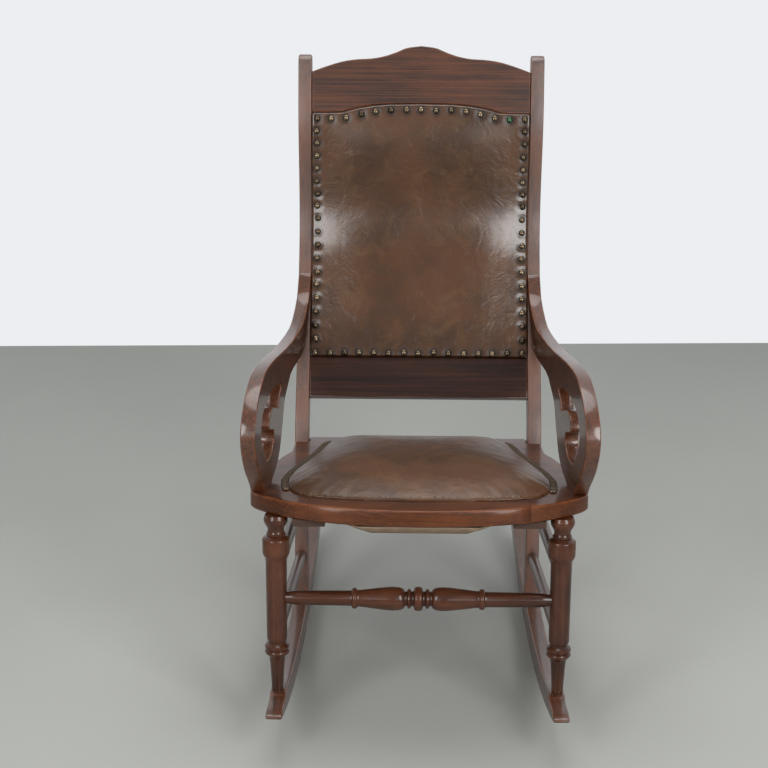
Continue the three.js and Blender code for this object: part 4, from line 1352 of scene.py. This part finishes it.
def scattered(head, places, name, green=()):
    """A copy of a head at each place, joined. Each has its own tarnish, and the ones that are
    numbered have gone green."""
    chance = random.Random(11)
    made = []
    for order, place in enumerate(places):
        piece = head.copy()
        piece.data = head.data.copy()
        bpy.context.scene.collection.objects.link(piece)
        piece.matrix_world = place
        count = len(piece.data.vertices)
        set_attribute(piece, "tarnish", "POINT", [chance.uniform(0, 0.55)] * count)
        set_attribute(
            piece, "verdigris", "POINT", [0.5 if order in green else 0.0] * count
        )
        made.append(piece)
    bpy.data.objects.remove(head)
    whole = joined(made, name)
    apply_place(whole)
    return whole


def seated(point, normal, sink):
    """The place of a head on a surface, sunk a little, with its dome along the normal."""
    turn = normal.to_track_quat("Z", "Y").to_matrix().to_4x4()
    return Matrix.Translation(point - normal * sink) @ turn


class ROCKER_OT_nails(bpy.types.Operator):
    """Drive the brass nails round the back leather and the tacks along the seat"""

    bl_idname = "rocker.nails"
    bl_label = "Nails"

    def execute(self, context):
        sizes = context.scene.rocker_sizes
        brass = aged_brass("Stamped brass, aged")
        find = surface_finder(bpy.data.objects["back_pad"])
        forward = (UPRIGHT.to_3x3() @ Vector((0, 1, 0))).normalized()
        leather = NODES["back_leather"].data
        upright = [upright_point(vertex.co) for vertex in leather.vertices]
        half = max(point.x for point in upright)
        foot = min(point.z for point in upright)
        inset = sizes.nail_inset / MM

        def top_at(x):
            near = [point.z for point in upright if abs(abs(point.x) - abs(x)) < 18]
            return max(near)

        corners = half - inset
        low = foot + inset
        spots = []
        count = sizes.bottom_nails
        for order in range(count):
            spots.append((-corners + 2 * corners * order / (count - 1), low))
        count = sizes.side_nails
        side_top = top_at(corners) - inset
        for order in range(1, count + 1):
            level = low + (side_top - low) * order / (count + 1)
            spots.append((-corners, level))
            spots.append((corners, level))
        count = sizes.top_nails
        first_top = len(spots)
        for order in range(count):
            x = -corners + 2 * corners * order / (count - 1)
            spots.append((x, top_at(x) - inset))
        chance = random.Random(7)
        places = []
        for x, z in spots:
            x += chance.uniform(-1.2, 1.2)
            z += chance.uniform(-1.2, 1.2)
            origin = UPRIGHT @ (Vector((x, 200, z)) * MM)
            point, normal = find(origin, forward)
            places.append(seated(point, normal, 0.0004))
        self.sink_leather(places, sizes.nail_diameter)
        head = nail_head("nail", sizes.nail_diameter, sizes.nail_diameter * 0.36)
        nails = scattered(head, places, "back_nails", (first_top + count - 2,))
        settle(nails, brass, "steel")

        find = surface_finder(bpy.data.objects["seat_pad"])
        down = -SEAT_NORMAL
        pad = NODES["seat_leather"].data
        seat = [upright_point(vertex.co) for vertex in pad.vertices]
        places = []
        count = sizes.tacks
        reach = 176
        first = min(point.y for point in seat)
        for order in range(count):
            x = -reach + 2 * reach * order / (count - 1) + chance.uniform(-2, 2)
            for step in range(60):
                origin = UPRIGHT @ (Vector((x, first + step, 600)) * MM)
                if find(origin, down):
                    break
            origin = UPRIGHT @ (Vector((x, first + step + 3, 600)) * MM)
            point, normal = find(origin, down)
            places.append(seated(point, normal, 0.0002))
        head = nail_head("tack", sizes.tack_diameter, sizes.tack_diameter * 0.3)
        tacks = scattered(head, places, "seat_tacks")
        settle(tacks, brass, "steel")
        return {"FINISHED"}

    def sink_leather(self, places, diameter):
        """Draws the back leather in under each nail, and marks it darker round each nail."""
        mesh = bpy.data.objects["back_pad"].data
        nails = KDTree(len(places))
        for order, place in enumerate(places):
            nails.insert(place.translation, order)
        nails.balance()
        grime = []
        reach = diameter * 1.1
        for vertex in mesh.vertices:
            _, order, distance = nails.find(vertex.co)
            near = max(0.0, 1 - distance / reach)
            grime.append(min(0.9, near * 1.6))
            if near and vertex.normal.y < 0:
                vertex.co -= places[order].to_3x3() @ Vector((0, 0, 0.0012)) * near
        set_attribute(bpy.data.objects["back_pad"], "grime", "POINT", grime)


class ROCKER_OT_braid(bpy.types.Operator):
    """Lay the chevron braid along both sides of the seat pad"""

    bl_idname = "rocker.braid"
    bl_label = "Braid"

    def execute(self, context):
        material = chevron_braid("Woven cotton braid", "080605", "8f7c66")
        for side, _ in SIDES:
            self.strip(side, material)
        return {"FINISHED"}

    def strip(self, side, material):
        node = f"{side}_seat_braid"
        solid = copy_of(node, node + "_woven")
        drop_faces(solid, lambda polygon: polygon.normal.dot(SEAT_NORMAL) < 0.5)
        mesh = solid.data
        inner, outer = self.rails(mesh)
        count = 160
        across = 6
        object_mode()
        bpy.ops.mesh.primitive_grid_add(
            x_subdivisions=count, y_subdivisions=across, size=1, location=(0, 0, 0)
        )
        piece = bpy.context.object
        piece.name = node + "_strip"
        piece.data.name = piece.name
        length = sum((b - a).length for a, b in zip(inner, inner[1:]))
        mapped = piece.data.uv_layers.active.data
        shares = [
            (vertex.co.x + 0.5, vertex.co.y * 2) for vertex in piece.data.vertices
        ]
        for loop in piece.data.loops:
            along, over = shares[loop.vertex_index]
            mapped[loop.index].uv = (along * length, over)
        for vertex, (along, over) in zip(piece.data.vertices, shares):
            near = self.point_along(inner, along)
            far = self.point_along(outer, along)
            dome = math.sqrt(max(0.0, 1 - over * over)) * 0.0012 - 0.0016
            vertex.co = near.lerp(far, (over + 1) / 2) + SEAT_NORMAL * dome
        activate(piece)
        bpy.ops.object.mode_set(mode="EDIT")
        bpy.ops.mesh.select_all(action="SELECT")
        bpy.ops.mesh.normals_make_consistent(inside=False)
        bpy.ops.object.mode_set(mode="OBJECT")
        middle = piece.data.polygons[len(piece.data.polygons) // 2]
        if middle.normal.dot(SEAT_NORMAL) < 0:
            bpy.ops.object.mode_set(mode="EDIT")
            bpy.ops.mesh.select_all(action="SELECT")
            bpy.ops.mesh.flip_normals()
            bpy.ops.object.mode_set(mode="OBJECT")
        thick = piece.modifiers.new("Thickness", "SOLIDIFY")
        thick.thickness = 0.0012
        thick.offset = -1
        apply_modifiers(piece)
        bpy.ops.object.shade_smooth()
        bpy.data.objects.remove(solid)
        settle(piece, material, "braid", node)

    def rails(self, mesh):
        """The two long edges of the top face of the braid's solid, front to back."""
        count = {}
        for polygon in mesh.polygons:
            for key in polygon.edge_keys:
                count[key] = count.get(key, 0) + 1
        rim = [key for key, times in count.items() if times == 1]
        links = {}
        for a, b in rim:
            links.setdefault(a, []).append(b)
            links.setdefault(b, []).append(a)
        start = next(iter(links))
        loop = [start]
        before, here = None, start
        while True:
            onward = [other for other in links[here] if other != before]
            before, here = here, onward[0]
            if here == start:
                break
            loop.append(here)
        points = [mesh.vertices[index].co.copy() for index in loop]
        sharp = []
        for order, point in enumerate(points):
            back = (points[order - 1] - point).normalized()
            ahead = (points[(order + 1) % len(points)] - point).normalized()
            sharp.append((back.dot(ahead), order))
        corners = sorted(order for _, order in sorted(sharp, reverse=True)[:4])
        runs = []
        for a, b in zip(corners, corners[1:] + [corners[0] + len(points)]):
            run = [points[order % len(points)] for order in range(a, b + 1)]
            runs.append(run)
        runs.sort(key=lambda run: -sum((b - a).length for a, b in zip(run, run[1:])))
        long_runs = [
            run if run[0].y < run[-1].y else list(reversed(run)) for run in runs[:2]
        ]
        long_runs.sort(key=lambda run: sum(abs(point.x) for point in run) / len(run))
        return long_runs

    def point_along(self, run, share):
        """A point at a share of a run's length."""
        steps = [(b - a).length for a, b in zip(run, run[1:])]
        left = share * sum(steps)
        for (a, b), step in zip(zip(run, run[1:]), steps):
            if left <= step:
                return a.lerp(b, left / step)
            left -= step
        return run[-1].copy()


# Cloths and webbing


def planar_uv(piece, axis_u, axis_v):
    """A UV map in metres, laid flat across two directions."""
    layer = piece.data.uv_layers.active or piece.data.uv_layers.new(name="UVMap")
    for loop in piece.data.loops:
        place = piece.data.vertices[loop.vertex_index].co
        layer.data[loop.index].uv = (place.dot(axis_u), place.dot(axis_v))


def skin_of(node, name, keep, thick, levels):
    """One skin of a thin solid, subdivided and given the cloth's thickness again."""
    piece = copy_of(node, name)
    drop_faces(piece, lambda polygon: not keep(polygon.normal))
    finer = piece.modifiers.new("Finer", "SUBSURF")
    finer.subdivision_type = "SIMPLE"
    finer.levels = levels
    finer.render_levels = levels
    wall = piece.modifiers.new("Thickness", "SOLIDIFY")
    wall.thickness = thick
    wall.offset = -1
    apply_modifiers(piece)
    activate(piece)
    bpy.ops.object.shade_smooth()
    return piece


class ROCKER_OT_cloths(bpy.types.Operator):
    """Make the lining, the cloth under the seat and the webbing"""

    bl_idname = "rocker.cloths"
    bl_label = "Cloths and webbing"

    def execute(self, context):
        along_x = Vector((1, 0, 0))
        seat_y = SEAT_NORMAL.cross(along_x).normalized()
        back_up = (UPRIGHT.to_3x3() @ Vector((0, 0.3, 1))).normalized()
        thick = 0.0008
        under = woven("Unbleached cotton, under the seat", "b9a38c", "8f7a66", 1.6)
        lining = woven("Unbleached cotton, back lining", "8d7a5c", "5f503a", 1.6)
        jute = woven("Woven jute webbing", "b59c6c", "7a6543", 2.6, 0.8)

        piece = skin_of(
            "seat_bottom_cloth",
            "under_cloth",
            lambda normal: normal.dot(SEAT_NORMAL) < -0.3,
            thick,
            1,
        )
        planar_uv(piece, along_x, seat_y)
        settle(piece, under, "cloth", "seat_bottom_cloth")

        piece = skin_of(
            "back_lining", "back_lining_cloth", lambda normal: normal.y > 0.3, thick, 1
        )
        planar_uv(piece, along_x, back_up)
        settle(piece, lining, "cloth", "back_lining")

        for order in ("first", "middle", "last"):
            for kind, up in (
                ("back_webbing", back_up),
                ("seat_long_webbing", seat_y),
                ("seat_cross_webbing", seat_y),
            ):
                node = f"{kind}_{order}"
                piece = copy_of(node, node + "_strap")
                soft = piece.modifiers.new("Soft edges", "BEVEL")
                soft.width = 0.0004
                soft.segments = 1
                apply_modifiers(piece)
                shade(piece, 40)
                planar_uv(piece, along_x, up)
                settle(piece, jute, "webbing", node)
        piece = copy_of("seat_hessian", "hessian_sheet")
        planar_uv(piece, along_x, seat_y)
        settle(
            piece, woven("Jute hessian", "a8906a", "6f5c40", 2.0), "cloth", "seat_hessian"
        )
        return {"FINISHED"}


class ROCKER_OT_hidden_parts(bpy.types.Operator):
    """Give the pegs, screws, laths and glue blocks their finishes"""

    bl_idname = "rocker.hidden_parts"
    bl_label = "Hidden parts"

    def execute(self, context):
        beech = plain_grained("Planed beech", "b08a5f", "8d6942", "Y", 0.6)
        lath = plain_grained("Planed beech, laths", "a57f55", "84613c", "Z", 0.6)
        pine = plain_grained("Sawn pine, stained", "3e2617", "2a180f", "X", 0.75)
        steel = dull_steel("Plain steel")
        finishes = {
            "front_joint_peg": beech,
            "rear_joint_peg": beech,
            "arm_foot_peg": beech,
            "glue_block": pine,
            "back_lath": lath,
            "arm_screw": steel,
        }
        for side, _ in SIDES:
            for kind, material in finishes.items():
                solid = NODES[f"{side}_{kind}"]
                if not solid.material_slots:
                    solid.data.materials.append(material)
                for holder in solid.material_slots:
                    holder.material = material
        return {"FINISHED"}


class ROCKER_OT_stage(bpy.types.Operator):
    """Set the floor, the room, the lamps and the camera"""

    bl_idname = "rocker.stage"
    bl_label = "Stage"

    def execute(self, context):
        scene = context.scene
        stage = scene.rocker_stage
        colours = scene.rocker_colours
        object_mode()
        # The floor ends in a straight line behind the chair, with the pale room beyond it.
        half = stage.floor_size / 2
        bpy.ops.mesh.primitive_plane_add(
            size=stage.floor_size,
            location=(
                half * math.sin(stage.floor_turn),
                stage.floor_end - half * math.cos(stage.floor_turn),
                -0.0002,
            ),
            rotation=(0, 0, stage.floor_turn),
        )
        floor = context.object
        floor.name = "floor"
        material, tree = new_material("Painted concrete floor")
        where = add_node(tree, "ShaderNodeTexCoord").outputs["Object"]
        # Broad clouds 330 mm across, as on a floor that has been mopped.
        mottle = add_node(
            tree, "ShaderNodeTexNoise", {"Scale": 1000 / 330, "Detail": 6}, {"Vector": where}
        ).outputs[0]
        pale = linear(colours.floor)
        colour = add_node(
            tree,
            "ShaderNodeMix",
            {6: pale, 7: tuple(share * 0.9 for share in pale[:3]) + (1,)},
            {0: mottle},
            data_type="RGBA",
        ).outputs[2]
        shader = add_node(
            tree, "ShaderNodeBsdfPrincipled", {"Roughness": 0.7}, {"Base Color": colour}
        ).outputs["BSDF"]
        finish_material(tree, shader)
        floor.data.materials.append(material)
        apply_place(floor)

        world = bpy.data.worlds.new("Studio")
        scene.world = world
        world.use_nodes = True
        tree = world.node_tree
        tree.nodes.clear()
        # The eye sees a pale room all round. The polish sees it behind the chair only. It
        # lights the chair softly from behind, and dimly from the other sides.
        rays = add_node(tree, "ShaderNodeLightPath").outputs
        way = add_node(tree, "ShaderNodeTexCoord").outputs["Generated"]
        behind = add_node(tree, "ShaderNodeSeparateXYZ", links={0: way}).outputs["Y"]
        behind = add_node(
            tree,
            "ShaderNodeMapRange",
            {"From Min": 0.0, "From Max": 0.25},
            {"Value": behind},
        ).outputs["Result"]
        polish = add_node(
            tree,
            "ShaderNodeMath",
            links={0: rays["Is Glossy Ray"], 1: behind},
            operation="MULTIPLY",
        ).outputs[0]
        fill = add_node(
            tree, "ShaderNodeMath", {1: 0.5}, {0: behind}, operation="MULTIPLY"
        ).outputs[0]
        seen = add_node(
            tree, "ShaderNodeMath", links={0: fill, 1: polish}, operation="MAXIMUM"
        ).outputs[0]
        seen = add_node(
            tree,
            "ShaderNodeMath",
            links={0: rays["Is Camera Ray"], 1: seen},
            operation="MAXIMUM",
        ).outputs[0]
        dim = add_node(
            tree, "ShaderNodeBackground", {"Color": linear("f2f5f8"), "Strength": 0.22}
        ).outputs[0]
        white = add_node(
            tree, "ShaderNodeBackground", {"Color": linear(colours.wall), "Strength": 1}
        ).outputs[0]
        sky = add_node(tree, "ShaderNodeMixShader", links={0: seen, 1: dim, 2: white})
        out = tree.nodes.new("ShaderNodeOutputWorld")
        tree.links.new(sky.outputs[0], out.inputs["Surface"])
        lamps = (
            ("left_softbox", (-1.55, -2.2, 1.6), 44, 0.9, 2.1),
            ("right_softbox", (1.55, -2.2, 1.6), 58, 1.0, 2.2),
            ("left_panel", (-1.0, -3.4, 1.5), 5, 1.2, 1.2),
            ("right_panel", (1.0, -3.4, 1.5), 6, 1.2, 1.2),
            ("overhead", (0.0, 0.3, 3.0), 44, 2.2, 2.0),
        )
        for name, place, power, width, height in lamps:
            object_mode()
            bpy.ops.object.light_add(type="AREA", location=place)
            lamp = context.object
            lamp.name = name
            lamp.data.energy = power
            lamp.data.shape = "ELLIPSE"
            lamp.data.size = width
            lamp.data.size_y = height
            aim = Vector((0, 0.1, 0.6)) - Vector(place)
            lamp.rotation_euler = aim.to_track_quat("-Z", "Y").to_euler()

        object_mode()
        bpy.ops.object.camera_add(location=stage.camera_place, rotation=stage.camera_turn)
        camera = context.object
        camera.name = "camera"
        camera.data.lens = stage.lens
        camera.data.sensor_width = 36
        camera.data.clip_end = 50
        scene.camera = camera
        scene.view_settings.view_transform = "Standard"
        return {"FINISHED"}


STEPS = (
    ROCKER_OT_boards,
    ROCKER_OT_turnings,
    ROCKER_OT_seat_pad,
    ROCKER_OT_back_pad,
    ROCKER_OT_nails,
    ROCKER_OT_braid,
    ROCKER_OT_cloths,
    ROCKER_OT_hidden_parts,
    ROCKER_OT_stage,
)
GROUPS = {
    "rocker_sizes": RockerSizes,
    "rocker_colours": RockerColours,
    "rocker_padding": RockerPadding,
    "rocker_stage": RockerStage,
}


class ROCKER_PT_panel(bpy.types.Panel):
    """Sizes, colours and steps of the rocking armchair"""

    bl_idname = "ROCKER_PT_panel"
    bl_label = "Rocking armchair"
    bl_space_type = "VIEW_3D"
    bl_region_type = "UI"
    bl_category = "Rocker"

    def draw(self, context):
        for name in GROUPS:
            box = self.layout.box()
            settings = getattr(context.scene, name)
            for key in settings.bl_rna.properties.keys():
                if key not in ("rna_type", "name"):
                    box.prop(settings, key)
        for step in STEPS:
            self.layout.operator(step.bl_idname)


def register():
    for group in GROUPS.values():
        bpy.utils.register_class(group)
    for name, group in GROUPS.items():
        setattr(bpy.types.Scene, name, PointerProperty(type=group))
    for step in STEPS:
        bpy.utils.register_class(step)
    bpy.utils.register_class(ROCKER_PT_panel)


def unregister():
    bpy.utils.unregister_class(ROCKER_PT_panel)
    for step in reversed(STEPS):
        bpy.utils.unregister_class(step)
    for name, group in GROUPS.items():
        delattr(bpy.types.Scene, name)
        bpy.utils.unregister_class(group)


def main():
    register()
    for step in STEPS:
        group, name = step.bl_idname.split(".")
        getattr(getattr(bpy.ops, group), name)()


if __name__ == "__main__":
    main()
